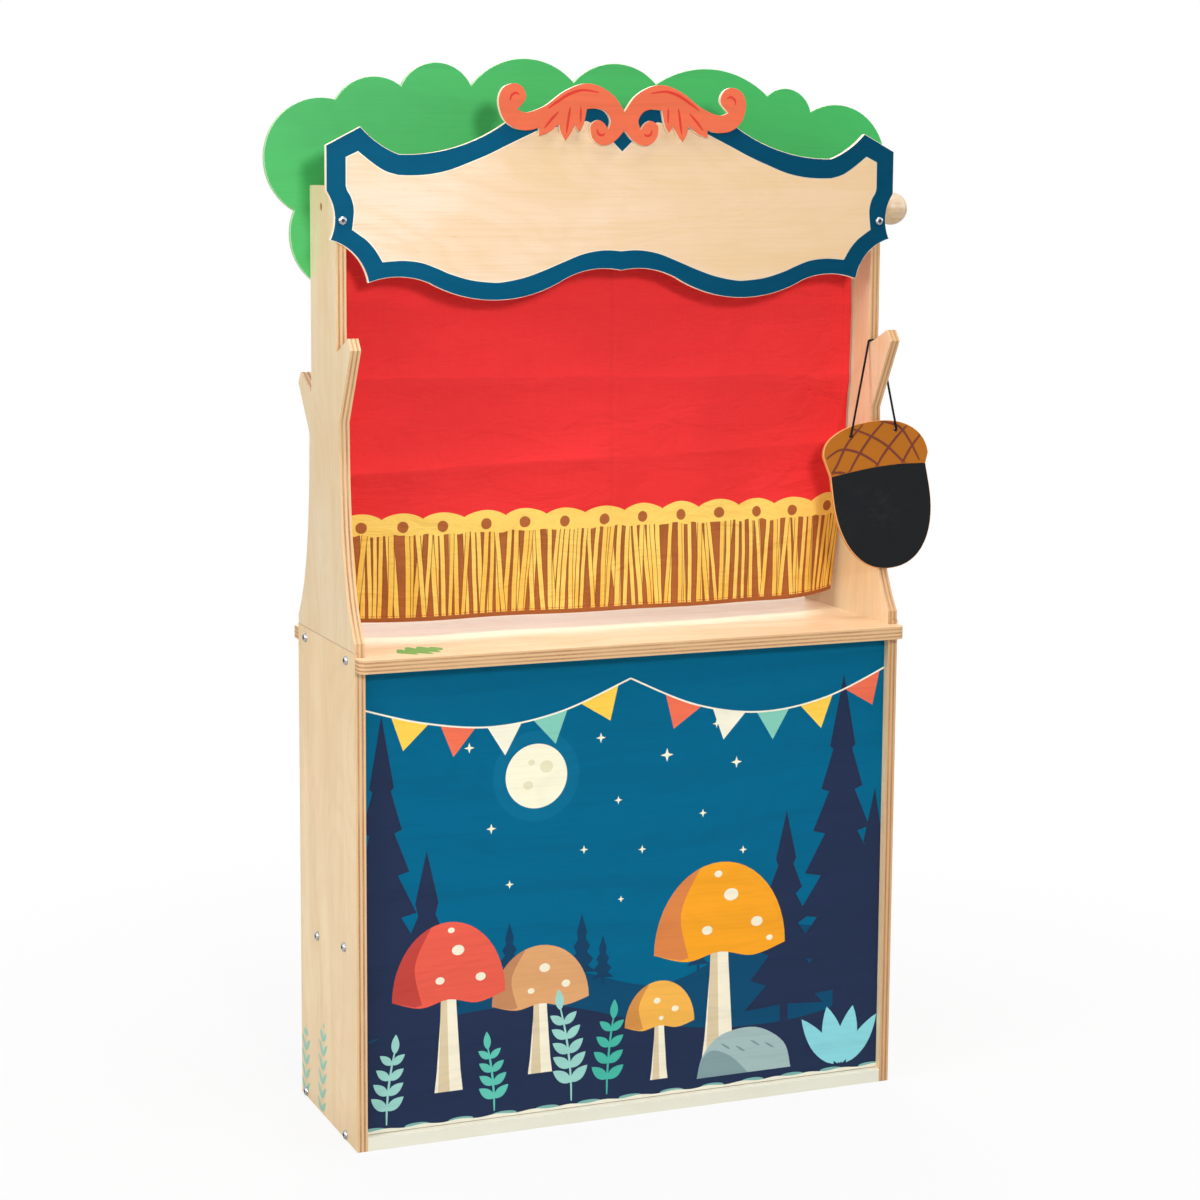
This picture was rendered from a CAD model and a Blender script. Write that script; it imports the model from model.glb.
"""Play theatre of birch plywood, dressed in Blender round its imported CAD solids.

Every new piece is a surface worked out with numpy: a flat board between two outlines, a turned
profile, a tube along a path, or a sheet over a grid. Sizes are metres, +Z up, audience towards -Y.
"""

import math

import bmesh
import bpy
import numpy as np
from bpy.props import FloatProperty, FloatVectorProperty, IntProperty, PointerProperty
from mathutils import Matrix, Vector
from mathutils.geometry import delaunay_2d_cdt


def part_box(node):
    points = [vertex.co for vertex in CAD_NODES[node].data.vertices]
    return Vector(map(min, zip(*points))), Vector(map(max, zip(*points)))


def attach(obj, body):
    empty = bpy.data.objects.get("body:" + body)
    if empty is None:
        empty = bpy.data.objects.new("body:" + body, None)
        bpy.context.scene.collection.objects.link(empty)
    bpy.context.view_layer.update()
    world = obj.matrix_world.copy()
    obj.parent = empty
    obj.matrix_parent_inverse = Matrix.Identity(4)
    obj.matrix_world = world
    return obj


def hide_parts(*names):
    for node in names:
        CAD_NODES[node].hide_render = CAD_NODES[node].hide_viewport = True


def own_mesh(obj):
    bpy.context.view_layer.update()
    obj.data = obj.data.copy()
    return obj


bl_info = {
    "name": "Plywood Play Theatre",
    "version": (1, 0, 0),
    "blender": (4, 5, 0),
    "location": "View3D > Sidebar > Theatre",
    "description": "Builds the looks of a birch plywood play theatre round its CAD solids",
    "category": "Add Mesh",
}

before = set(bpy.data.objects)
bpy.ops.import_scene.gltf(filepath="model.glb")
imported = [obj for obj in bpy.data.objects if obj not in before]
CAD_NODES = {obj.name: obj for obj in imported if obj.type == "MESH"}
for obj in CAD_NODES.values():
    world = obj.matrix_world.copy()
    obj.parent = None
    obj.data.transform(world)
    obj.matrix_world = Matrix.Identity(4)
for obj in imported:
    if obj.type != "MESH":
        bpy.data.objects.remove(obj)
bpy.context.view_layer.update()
INK = "ink"
MM = 0.001


# places taken from the CAD nodes

def low(node):
    return np.array(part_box(node)[0])


def high(node):
    return np.array(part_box(node)[1])


def middle(node):
    return (low(node) + high(node)) / 2


HALF_WIDTH = float(high("lower_side_right")[0])
INNER_HALF_WIDTH = float(low("lower_side_right")[0])
SIDE_PLY = HALF_WIDTH - INNER_HALF_WIDTH
POST_MIDDLE = INNER_HALF_WIDTH + SIDE_PLY / 2
BOARD_PLY = 0.015
COUNTER_TOP = float(high("counter_board")[2])
POST_TOP = float(high("upper_side_left")[2])
ROD_CENTRE = middle("curtain_roller")
ROD_RADIUS = 0.008
SHELF_SLOPE = math.radians(8.4)
SHELF_MIDDLE = np.array([0.0, -0.012834, 0.2155])


# colours and sizes a user changes

def paint(red, green, blue):
    """Display values from 0 to 255 as the linear colour that a shader takes."""
    shares = np.array([red, green, blue]) / 255.0
    linear = np.where(shares <= 0.04045, shares / 12.92, ((shares + 0.055) / 1.055) ** 2.4)
    return tuple(linear.tolist())


def dimmed(colour, share):
    return tuple(share * value for value in colour)


def colour_setting(name, description, *display):
    return FloatVectorProperty(
        name=name, description=description, subtype="COLOR", size=3, min=0.0, max=1.0,
        default=paint(*display),
    )


def length_setting(name, description, value, most):
    return FloatProperty(
        name=name, description=description, default=value, min=0.0, max=most, unit="LENGTH",
        subtype="DISTANCE", precision=5,
    )


class TheatreColours(bpy.types.PropertyGroup):
    """Paints, prints, woods and cloth of the theatre"""
    birch: colour_setting("Birch face", "Lacquered veneer of the lower sides", 240, 214, 172)
    birch_streak: colour_setting("Birch streak", "Darker streaks in the veneer", 222, 188, 138)
    sign_birch: colour_setting("Sign birch", "Paler veneer of the sign board", 243, 219, 198)
    ply_light: colour_setting("Ply light layer", "Pale layers in a sawn edge", 222, 186, 140)
    ply_dark: colour_setting("Ply dark layer", "Dark layers in a sawn edge", 158, 102, 66)
    blue: colour_setting("Border blue", "Blue of the sign's border", 0, 80, 112)
    leaf_green: colour_setting("Leaf green", "Paint of the leafy board", 52, 168, 84)
    coral: colour_setting("Coral", "Paint of the scroll ornament", 217, 104, 72)
    coral_groove: colour_setting("Coral line", "Lines painted on the ornament", 206, 60, 50)
    cream: colour_setting("Cream paint", "Front edge of the bottom board", 230, 227, 210)
    night: colour_setting("Night sky", "Sky of the woodland picture", 0, 97, 133)
    navy: colour_setting("Woodland navy", "Trees and hills of the picture", 36, 48, 76)
    cloth: colour_setting("Curtain red", "Dyed cotton of the curtain", 226, 48, 50)
    fringe: colour_setting("Fringe yellow", "Printed fringe of the curtain", 244, 206, 104)
    fringe_deep: colour_setting("Fringe amber", "Shaded part of the fringe", 240, 188, 78)
    fringe_brown: colour_setting("Fringe brown", "Gaps, dots and hem of the fringe", 168, 96, 50)
    chalk: colour_setting("Chalk black", "Matt chalk paint", 27, 29, 31)
    acorn_cap: colour_setting("Acorn cap", "Orange-brown cap of the chalk board", 167, 99, 29)
    acorn_line: colour_setting("Acorn lines", "Lines painted on the cap", 112, 56, 42)
    cord: colour_setting("Cord black", "Braided cord", 16, 16, 18)
    turned_wood: colour_setting("Turned wood", "Rod and knob", 212, 190, 162)
    zinc: colour_setting("Zinc", "Bolts, nuts and inserts", 188, 192, 198)
    mint: colour_setting("Sprig mint", "Sprigs printed on the left side", 116, 192, 174)
    grass: colour_setting("Leaf print", "Leaf printed on the counter", 98, 164, 62)


class TheatreSizes(bpy.types.PropertyGroup):
    """Sizes of the parts that the CAD solids leave open"""
    sanded_edge: length_setting("Sanded edge", "Radius on the plywood edges", 0.0007, 0.003)
    counter_edge: length_setting("Counter edge", "Radius on the counter's edges", 0.0012, 0.003)
    trim_edge: length_setting("Trim edge", "Radius on the thin cut boards", 0.0005, 0.002)
    cloth_thick: length_setting("Cloth thickness", "Single layer of the curtain", 0.0011, 0.004)
    hem_thick: length_setting("Hem thickness", "Extra thickness of the hems", 0.0008, 0.004)
    hem_width: length_setting("Side hem", "Width of the folded side hems", 0.012, 0.04)
    crease_depth: length_setting("Crease depth", "Height of the cloth's creases", 0.0034, 0.01)
    cord_diameter: length_setting("Cord diameter", "Thickness of the cord", 0.0026, 0.006)
    knot_reach: length_setting("Knot radius", "Outer radius of the cord's knots", 0.0031, 0.01)
    arc_steps: IntProperty(
        name="Arc steps", description="Steps in each arc of a cut outline", default=26, min=4, max=80,
    )
    turned_steps: IntProperty(
        name="Turned steps", description="Steps round a turned piece", default=64, min=12, max=128,
    )


def colours():
    return bpy.context.scene.theatre_colours


def sizes():
    return bpy.context.scene.theatre_sizes


# shader nodes

class Wire:
    """Output of a node: plus, minus, times, divided by, power and abs add a Math node behind it."""

    def __init__(self, socket):
        self.socket = socket
        self.tree = socket.id_data

    def maths(self, operation, *others, clamp=False):
        values = dict(enumerate((self, *others)))
        return added(self.tree, "Math", values, operation=operation, use_clamp=clamp)

    def ramp(self, start, end, low_value=0.0, high_value=1.0):
        """Smooth step of the value from start to end."""
        values = dict(enumerate((self, start, end, low_value, high_value)))
        return added(self.tree, "MapRange", values, interpolation_type="SMOOTHSTEP")

    def __add__(self, other):
        return self.maths("ADD", other)

    def __sub__(self, other):
        return self.maths("SUBTRACT", other)

    def __mul__(self, other):
        return self.maths("MULTIPLY", other)

    def __truediv__(self, other):
        return self.maths("DIVIDE", other)

    def __pow__(self, other):
        return self.maths("POWER", other)

    def __abs__(self):
        return self.maths("ABSOLUTE")


def fill(socket, value):
    """Joins an input to a wire, or writes a value in it; a colour needs three numbers."""
    if isinstance(value, Wire):
        value.tree.links.new(value.socket, socket)
    elif socket.type == "RGBA":
        socket.default_value = (*tuple(value)[:3], 1.0)
    else:
        socket.default_value = value


def added(tree, kind, inputs=None, out=0, **settings):
    """Adds a shader node and gives the wire of one output, or a list where out names several."""
    made = tree.nodes.new("ShaderNode" + kind)
    for key, value in settings.items():
        setattr(made, key, value)
    for key, value in (inputs or {}).items():
        fill(made.inputs[key], value)
    if isinstance(out, tuple):
        return [Wire(made.outputs[key]) for key in out]
    return Wire(made.outputs[out])


def coordinates(tree, kind="Object"):
    return added(tree, "TexCoord", out=kind)


def split(vector):
    return added(vector.tree, "SeparateXYZ", {"Vector": vector}, (0, 1, 2))


def joined(x, y=0.0, z=0.0):
    return added(x.tree, "CombineXYZ", {"X": x, "Y": y, "Z": z})


def mixed(share, first, second):
    """Colour between two colours, by a share from 0 to 1."""
    return added(share.tree, "Mix", {0: share, 6: first, 7: second}, 2, data_type="RGBA")


def blended(share, first, second):
    """Number between two numbers, by a share from 0 to 1."""
    return added(share.tree, "Mix", {0: share, 2: first, 3: second}, data_type="FLOAT")


def scaled(vector, share):
    return added(vector.tree, "VectorMath", {0: vector, 3: share}, operation="SCALE")


def length_of(vector):
    return added(vector.tree, "VectorMath", {0: vector}, "Value", operation="LENGTH")


def noise(vector, scale, detail=2.0, roughness=0.5, distortion=0.0):
    """Noise of a vector; three scales stretch it along its axes first."""
    if isinstance(scale, tuple):
        vector = added(vector.tree, "Mapping", {"Vector": vector, "Scale": scale})
        scale = 1.0
    values = {"Vector": vector, "Scale": scale, "Detail": detail, "Roughness": roughness,
              "Distortion": distortion}
    return added(vector.tree, "TexNoise", values, "Fac")


def noise_along(value, scale, detail=1.0, shift=0.0):
    """Noise of one number times a scale; the shift picks another row of it."""
    return noise(joined(value * scale, shift), 1.0, detail)


def grouped(effect, inputs, outputs):
    """Builds a node group from a function of wires; an input starts at a number, or None for a vector."""
    tree = bpy.data.node_groups.new(effect.__name__, "ShaderNodeTree")
    for label, start in inputs.items():
        kind = "NodeSocketVector" if start is None else "NodeSocketFloat"
        socket = tree.interface.new_socket(label, in_out="INPUT", socket_type=kind)
        if start is not None:
            socket.default_value = start
    for label in outputs:
        tree.interface.new_socket(label, in_out="OUTPUT", socket_type="NodeSocketFloat")
    given = tree.nodes.new("NodeGroupInput").outputs[:len(inputs)]
    results = effect(*[Wire(socket) for socket in given])
    for socket, value in zip(tree.nodes.new("NodeGroupOutput").inputs, results):
        fill(socket, value)


def placed(name, **inputs):
    """Outputs of a shared effect, in order; it goes in the tree of its first input."""
    made = next(iter(inputs.values())).tree.nodes.new("ShaderNodeGroup")
    made.node_tree = bpy.data.node_groups[name]
    for label, value in inputs.items():
        fill(made.inputs[label], value)
    return [Wire(socket) for socket in made.outputs]


def birch_figure(board):
    """Veneer cut from a turning log: broad soft bands, fine streaks and short flecks along X."""
    along, across, through = split(board)
    bent = across + noise(board, (1.6, 5.0, 5.0)) * 0.16
    broad = noise(joined(along * 1.1, bent * 26.0, through), 1.0, 4.0, 0.55)
    figure = noise(joined(along * 2.6, bent * 9.0, through), 1.0, 1.0)
    rings = abs((figure * 55.0).maths("SINE"))
    fine = noise(board, (9.0, 420.0, 420.0), 3.0, 0.6)
    fleck = noise(board, (70.0, 900.0, 900.0), 1.0).ramp(0.66, 0.76)
    soft = broad.ramp(0.36, 0.7) * 0.52 + rings.ramp(0.9, 0.1) * 0.16
    streak = soft.maths("ADD", fine.ramp(0.42, 0.72) * 0.32, clamp=True)
    return streak, fleck, fine * 0.7 - fleck * 0.5


def ply_layers(board, thickness, layers):
    """Sawn edge: Z through the board is cut into layers, every second one dark end grain."""
    wobble = noise(board, (9.0, 9.0, 0.0))
    bent = split(board)[2] / thickness + (wobble - 0.5) * 0.05
    wave = (bent * layers * math.pi).maths("SINE")
    fibre = noise(board, (60.0, 60.0, 2600.0), 3.0, 0.6)
    pores = noise(board, (420.0, 420.0, 1800.0))
    patch = noise(board, (14.0, 14.0, 260.0), 3.0, 0.6)
    uneven = pores.ramp(0.25, 0.6, 0.62, 1.0) * patch.ramp(0.3, 0.62, 0.5, 1.0)
    dark = wave.ramp(0.12, -0.45) * uneven
    return dark, fibre.ramp(0.35, 0.7), pores * 0.5 + dark * -0.4


def leaf_mask(along, across, size):
    """1 inside a leaf: its half-width is a sine of the share along it, bent towards its base."""
    share = along.maths("DIVIDE", size, clamp=True)
    swell = ((share ** 0.8) * math.pi).maths("SINE")
    edge = swell ** 0.75 * (size * 0.17)
    return (edge - abs(across)).ramp(0.0, 0.0003)


def sprig(across, up, tall):
    """Printed sprig, 1 inside: leaves in pairs at a fixed pitch up a stem, folded over its middle."""
    pitch, leaf, turn = 0.0175, 0.0235, math.radians(46)
    side = abs(across)
    step = (up + 1.0).maths("MODULO", pitch)
    leaves = side.ramp(0.0009, 0.0005)
    for shift in (0.0, pitch):
        rise = step + shift
        along = side * math.cos(turn) + rise * math.sin(turn)
        sideways = side * math.sin(turn) - rise * math.cos(turn)
        leaves = leaves.maths("MAXIMUM", leaf_mask(along, sideways, leaf))
    top = tall - up
    within = up.ramp(0.0, 0.0005) * top.ramp(0.0, 0.0005)
    return [leaves * within * (top * 0.9 - side).ramp(0.0, 0.0004)]


def fringe_strand(across, up, seed):
    """One of the fringe's rows of strands: a straight strand leans its own way in each 24 mm cell.

    Its centre is lerp(foot, top, share of the height); white noise of the cell gives both and its width.
    """
    place = across / 0.024
    cell = place.maths("FLOOR")
    ends, tone = added(across.tree, "TexWhiteNoise", {"W": cell + seed}, ("Color", "Value"),
                       noise_dimensions="1D")
    top, foot, wide = split(ends)
    lean = blended(up / 0.1, foot, top)
    wobble = noise(joined(cell * 3.3, up * 26.0), 1.0, 1.0)
    bent = lean * 0.56 + 0.22 + (wobble - 0.5) * 0.06
    gap = wide * 0.035 + 0.09 - abs(place.maths("FRACT") - bent)
    return gap.ramp(0.0, 0.015), gap.ramp(-0.045, -0.032), tone.ramp(0.75, 0.8, 0.0, 0.6)


def plain_weave(uv):
    """Plain weave from UV in metres: warp and weft swap over and under, with uneven thick yarns."""
    threads = 1500.0
    warp, weft = [(axis * (threads * math.pi)).maths("SINE") for axis in split(uv)[:2]]
    slub = noise(uv, (26.0, 900.0, 1.0)) * 0.6 + noise(uv, (800.0, 22.0, 1.0)) * 0.4
    return warp * weft * 0.5 + slub * 0.35, slub.ramp(0.36, 0.64)


def rub_marks(vector):
    """Handling marks: soft blotches and a few fine scuffs."""
    blotch = noise(vector, 9.0, 3.0, 0.6).ramp(0.35, 0.7)
    return blotch, noise(vector, (60.0, 34.0, 420.0)).ramp(0.68, 0.78)


SHARED_EFFECTS = (
    (birch_figure, {"Board": None}, ("Streak", "Fleck", "Height")),
    (ply_layers, {"Board": None, "Thickness": 0.012, "Layers": 5.0}, ("Dark", "Fibre", "Height")),
    (sprig, {"Across": 0.0, "Up": 0.0, "Tall": 0.08}, ("Mask",)),
    (fringe_strand, {"Across": 0.0, "Up": 0.0, "Seed": 0.0}, ("Mask", "Line", "Tint")),
    (plain_weave, {"UV": None}, ("Height", "Slub")),
    (rub_marks, {"Vector": None}, ("Blotch", "Scuff")),
)


def new_material(name, roughness=0.5, **constants):
    """A material and its tree; constants are values for its shader's own sockets."""
    made = bpy.data.materials.new(name)
    made.use_nodes = True
    shader = made.node_tree.nodes["Principled BSDF"]
    for key, value in {"Roughness": roughness, **constants}.items():
        shader.inputs[key.replace("_", " ")].default_value = value
    return made, made.node_tree


def shaded(made, tone, rough, height, strength, distance):
    """Joins a colour, a roughness (or None) and the height of a bump to a material's shader."""
    bump = {"Height": height, "Strength": strength, "Distance": distance}
    inputs = made.node_tree.nodes["Principled BSDF"].inputs
    fill(inputs["Base Color"], tone)
    fill(inputs["Normal"], added(made.node_tree, "Bump", bump))
    if rough is not None:
        fill(inputs["Roughness"], rough)
    return made


FLAT = (0.0, 0.0, 0.0)
UPRIGHT_FRONT = (math.pi / 2, 0.0, 0.0)
UPRIGHT_SIDE = (0.0, -math.pi / 2, 0.0)


def board_vector(tree, origin, turn):
    """Object coordinates in a board's own frame: X along its grain, Y across, Z through it."""
    values = {"Vector": coordinates(tree), "Location": tuple(origin), "Rotation": tuple(turn)}
    return added(tree, "Mapping", values, vector_type="TEXTURE")


def veneer(board, light, seed, marks):
    """Colour, roughness and height of lacquered birch in a board's frame; marks adds prints over it."""
    dark = colours().birch_streak
    shift = (seed * 7.13, seed * 3.7, 0.0)
    moved = added(board.tree, "VectorMath", {0: board, 1: shift}, operation="ADD")
    streak, fleck, height = placed("birch_figure", Board=moved)
    blotch, scuff = placed("rub_marks", Vector=moved)
    tone = mixed(streak * 0.85, light, dark)
    tone = mixed(fleck * 0.22, tone, (0.42, 0.26, 0.12))
    tone = mixed(blotch * 0.35, tone, dark)
    for mark in marks:
        tone = mark(board, tone)
    return tone, (streak + scuff).ramp(0.0, 1.6, 0.34, 0.5), height


def veneer_material(name, origin, turn, seed, light=None, marks=(), shine=0.42):
    """Lacquered veneer face."""
    made, tree = new_material(name, Specular_IOR_Level=shine)
    board = board_vector(tree, origin, turn)
    return shaded(made, *veneer(board, light or colours().birch, seed, marks), 0.12, 0.0003)


def edge_material(name, origin, turn, thickness, layers, tint=None, contrast=0.88):
    """Sawn and sanded plywood edge with its layers."""
    c = colours()
    made, tree = new_material(name, Specular_IOR_Level=0.32)
    board = board_vector(tree, origin, turn)
    dark, fibre, height = placed("ply_layers", Board=board, Thickness=thickness, Layers=float(layers))
    base = mixed(fibre * 0.4, tint or c.ply_light, (0.62, 0.40, 0.20))
    tone = mixed(dark * contrast, base, c.ply_dark)
    return shaded(made, tone, dark.ramp(0.0, 1.0, 0.46, 0.62), height, 0.25, 0.0002)


def printed_material(name, origin, seed, gloss=0.42, shine=0.06, marks=(), right_end=1.0):
    """Ink over veneer: the ink attribute holds its colour, and its alpha where the wood is covered.

    right_end is the share of its brightness that the ink keeps at the right end of the board.
    """
    made, tree = new_material(name, Specular_IOR_Level=shine)
    board = board_vector(tree, origin, UPRIGHT_FRONT)
    tone, rough, height = veneer(board, colours().sign_birch, seed, marks)
    ink, cover = added(tree, "Attribute", None, ("Color", "Alpha"), attribute_name=INK)
    mottle = placed("birch_figure", Board=board)[0].ramp(0.0, 1.0, 1.05, 0.93)
    if right_end < 1.0:
        mottle = mottle * split(board)[0].ramp(-0.25, 0.3, 1.0, right_end)
    tone = mixed(cover, tone, scaled(ink, mottle))
    blotch = placed("rub_marks", Vector=board)[0]
    rough = blended(cover, rough, blotch.ramp(0.0, 1.0, gloss - 0.03, gloss + 0.05))
    return shaded(made, tone, rough, height, 0.16, 0.0003)


# meshes

def linked(name, data):
    made = bpy.data.objects.new(name, data)
    bpy.context.scene.collection.objects.link(made)
    return made


def set_kinds(mesh, kinds):
    """Gives each face the number of its material."""
    mesh.polygons.foreach_set("material_index", np.asarray(kinds).astype(np.int32))


def face_vectors(mesh, kind):
    """Normals or centres of a mesh's faces, one in each row."""
    values = np.empty(len(mesh.polygons) * 3)
    mesh.polygons.foreach_get(kind, values)
    return values.reshape(-1, 3)


def soften(mesh, degrees):
    """Shades a mesh smooth, apart from edges sharper than an angle."""
    mesh.shade_smooth()
    mesh.set_sharp_from_angle(angle=math.radians(degrees))


def finished(name, points, faces, materials, kinds=None, smooth=35.0):
    """A mesh object at the origin from arrays of points and faces."""
    mesh = bpy.data.meshes.new(name)
    mesh.from_pydata(np.asarray(points, float).tolist(), [], [list(map(int, f)) for f in faces])
    for material in materials:
        mesh.materials.append(material)
    if kinds is not None:
        set_kinds(mesh, kinds)
    mesh.update()
    soften(mesh, smooth)
    return linked(name, mesh)


def settle(piece, body, slot, *replaced):
    """Says which body a piece rides on, which nodes it stands for and whose finish it takes."""
    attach(piece, body)
    if replaced:
        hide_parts(*replaced)
    return piece


def grid_quads(rows, columns, closed=False):
    """Corners of the squares of a grid stored row by row; closed joins its last column to its first."""
    across = columns if closed else columns - 1
    row, column = np.meshgrid(np.arange(rows - 1) * columns, np.arange(across), indexing="ij")
    after = (column + 1) % columns
    corners = (row + column, row + after, row + columns + after, row + columns + column)
    return np.stack(corners, -1).reshape(-1, 4)


def turned_piece(name, profile, start, axis, steps, materials, smooth=35.0, swell=1.0):
    """Profile of radius and distance turned about an axis, its doubled points merged.

    point = start + distance * axis + radius * swell * (cos * side + sin * up), where swell has a
    value for each row and angle, which turns a round ring into a hexagon.
    """
    axis = np.asarray(axis, float)
    side = np.cross(axis, [0.0, 0.0, 1.0])
    up = np.cross(axis, side)
    angle = np.linspace(0.0, 2 * np.pi, steps, endpoint=False)[:, None]
    ring = np.cos(angle) * side + np.sin(angle) * up
    radius, distance = np.asarray(profile, float).T[:, :, None]
    reach = (radius * swell * np.ones(steps))[:, :, None]
    points = np.asarray(start) + distance[:, :, None] * axis + reach * ring
    quads = grid_quads(len(profile), steps, closed=True)
    piece = finished(name, points.reshape(-1, 3), quads, materials)
    shape = bmesh.new()
    shape.from_mesh(piece.data)
    bmesh.ops.remove_doubles(shape, verts=shape.verts, dist=1e-7)
    bmesh.ops.dissolve_degenerate(shape, edges=shape.edges, dist=1e-7)
    bmesh.ops.recalc_face_normals(shape, faces=shape.faces)
    shape.to_mesh(piece.data)
    shape.free()
    soften(piece.data, smooth)
    return piece


def arc(outline, through, end):
    """Outline carried on along the circle through its last point, a second and a third point."""
    a, b, c = np.asarray(outline[-1], float), np.asarray(through, float), np.asarray(end, float)
    centre = np.linalg.solve(2 * np.array([b - a, c - a]), [b @ b - a @ a, c @ c - a @ a])
    first, second, third = [math.atan2(*(p - centre)[::-1]) for p in (a, b, c)]
    full = 2 * math.pi
    to_middle, to_end = (second - first) % full, (third - first) % full
    sweep = to_end if to_middle < to_end else to_end - full
    turn = first + sweep * np.linspace(0, 1, sizes().arc_steps + 1)[1:]
    points = centre + np.linalg.norm(a - centre) * np.stack([np.cos(turn), np.sin(turn)], -1)
    points[-1] = c
    return np.vstack([outline, points])


def spline(outline, knots, steps=7):
    """Outline carried on along the smooth cubic through its last point and the knots."""
    p = np.vstack([outline[-1:], knots]).astype(float)
    t = np.linspace(0, len(p) - 1, (len(p) - 1) * steps + 1)[1:]
    part = np.minimum(t.astype(int), len(p) - 2)
    w = (t - part)[:, None]
    before, here, after, beyond = [p[np.clip(part + step, 0, len(p) - 1)] for step in (-1, 0, 1, 2)]
    v0, v1 = (after - before) / 2, (beyond - here) / 2
    cubic = (2 * here - 2 * after + v0 + v1) * w**3 + (3 * after - 3 * here - 2 * v0 - v1) * w**2
    return np.vstack([outline, cubic + v0 * w + here])


def curve(knots, steps):
    """Smooth cubic through the knots."""
    knots = np.asarray(knots, float)
    return spline(knots[:1], knots[1:], steps)


def mirrored(half):
    """Closed outline from its right half, which runs from the middle line back to the middle line."""
    return np.vstack([half, half[1:-1][::-1] * [-1, 1]])


def anticlockwise(loop):
    x, y = loop.T
    area = np.sum(x * np.roll(y, -1) - np.roll(x, -1) * y)
    return loop if area > 0 else loop[::-1]


def widened(loop, distance):
    """Each corner of an anticlockwise loop moved outwards along its mitre by a distance."""
    run = loop - np.roll(loop, 1, 0)
    run = run / np.linalg.norm(run, axis=1, keepdims=True)
    before = np.stack([run[:, 1], -run[:, 0]], -1)
    after = np.roll(before, -1, 0)
    mitre = (before + after) / np.maximum(1 + np.sum(before * after, 1, keepdims=True), 0.35)
    return loop + mitre * distance


def inside(points, loop):
    """True for points inside a closed loop, by counting the edges that a ray to the right crosses."""
    x, y = points[:, 0][:, None], points[:, 1][:, None]
    x0, y0 = loop.T
    x1, y1 = np.roll(x0, -1), np.roll(y0, -1)
    spans = (y0 > y) != (y1 > y)
    with np.errstate(divide="ignore", invalid="ignore"):
        crossing = x0 + (y - y0) * (x1 - x0) / (y1 - y0)
    return np.count_nonzero(spans & (x < crossing), axis=1) % 2 == 1


def partition(rims, prints, base):
    """Triangles of a flat face cut along its prints: points, faces, inks, and where the rims' points went."""
    loops = [*rims, *[loop for loop, _ in prints]]
    edges, start = [], 0
    for loop in loops:
        number = np.arange(len(loop)) + start
        edges.extend(np.stack([number, np.roll(number, -1)], -1).tolist())
        start += len(loop)
    points = [Vector(point) for point in (np.vstack(loops) / MM).tolist()]
    found = delaunay_2d_cdt(points, edges, [], 0, 1e-4, True)
    flat = np.array([list(point) for point in found[0]]) * MM
    faces = np.array([face for face in found[2] if len(face) == 3])
    centre = flat[faces].mean(1)
    keep = inside(centre, rims[0])
    for hole in rims[1:]:
        keep &= ~inside(centre, hole)
    faces, centre = faces[keep], centre[keep]
    ink = np.tile(np.asarray(base, float), (len(faces), 1))
    for loop, tint in prints:
        ink[inside(centre, loop)] = tint
    origin = {given: new for new, olds in enumerate(found[3]) for given in olds}
    return flat, faces, ink, np.array([origin[number] for number in range(sum(map(len, rims)))])


def flat_board(name, outline, holes, prints, base, thickness, rounding, lay_out, materials, arris):
    """Board between two copies of an outline, its rims rounded by rings that follow a quarter circle.

    lay_out turns across, up and depth into points; materials are face, edge and back. arris says which
    of them the rounding at the front takes, on the outline and on the holes.
    """
    outline, *holes = [anticlockwise(loop) for loop in (outline, *holes)]

    def rims(inset):
        return [widened(outline, -inset), *[widened(hole, inset) for hole in holes]]

    turn = np.linspace(0, math.pi / 2, 4)
    insets, depths = rounding * (1 - np.sin(turn)), rounding * (1 - np.cos(turn))
    levels = [*zip(insets[1:], depths[1:]), *zip(insets[:0:-1], thickness - depths[:0:-1])]
    flat, faces, ink, fixed = partition(rims(rounding), prints, base)
    back, back_faces, _, back_fixed = partition(rims(rounding), [], base)
    points, rings, count = [lay_out(*flat.T, np.zeros(len(flat)))], [fixed], len(flat)
    for inset, depth in levels:
        ring = np.vstack(rims(inset))
        points.append(lay_out(*ring.T, np.full(len(ring), depth)))
        rings.append(np.arange(len(ring)) + count)
        count += len(ring)
    points.append(lay_out(*back.T, np.full(len(back), thickness)))
    rings.append(back_fixed + count)
    all_faces, kinds = [*faces], [0] * len(faces)
    cuts = np.cumsum([len(outline), *[len(hole) for hole in holes]])[:-1]
    for step, (near_ring, far_ring) in enumerate(zip(rings, rings[1:])):
        for loop, (near, far) in enumerate(zip(np.split(near_ring, cuts), np.split(far_ring, cuts))):
            quads = np.stack([near, far, np.roll(far, -1), np.roll(near, -1)], -1)
            all_faces.extend(quads[:, ::-1] if loop else quads)
            kinds.extend([arris[min(loop, 1)] if step < len(turn) - 1 else 1] * len(quads))
    all_faces.extend(back_faces[:, ::-1] + count)
    kinds.extend([2] * len(back_faces))
    piece = finished(name, np.vstack(points), all_faces, materials, kinds, smooth=40.0)
    inks = np.tile(np.asarray(base, float), (len(all_faces), 1))
    inks[:len(ink)] = ink
    layer = piece.data.color_attributes.new(INK, "FLOAT_COLOR", "CORNER")
    corner_inks = np.repeat(inks, [len(face) for face in all_faces], axis=0)
    layer.data.foreach_set("color", corner_inks.ravel().astype(np.float32))
    rounded = np.ones(len(all_faces), bool)
    rounded[:len(faces)] = False
    rounded[-len(back_faces):] = False
    piece.data.polygons.foreach_set("use_smooth", rounded)
    return piece


def solid_ink(tint, cover=1.0):
    return (*tuple(tint)[:3], cover)


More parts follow.
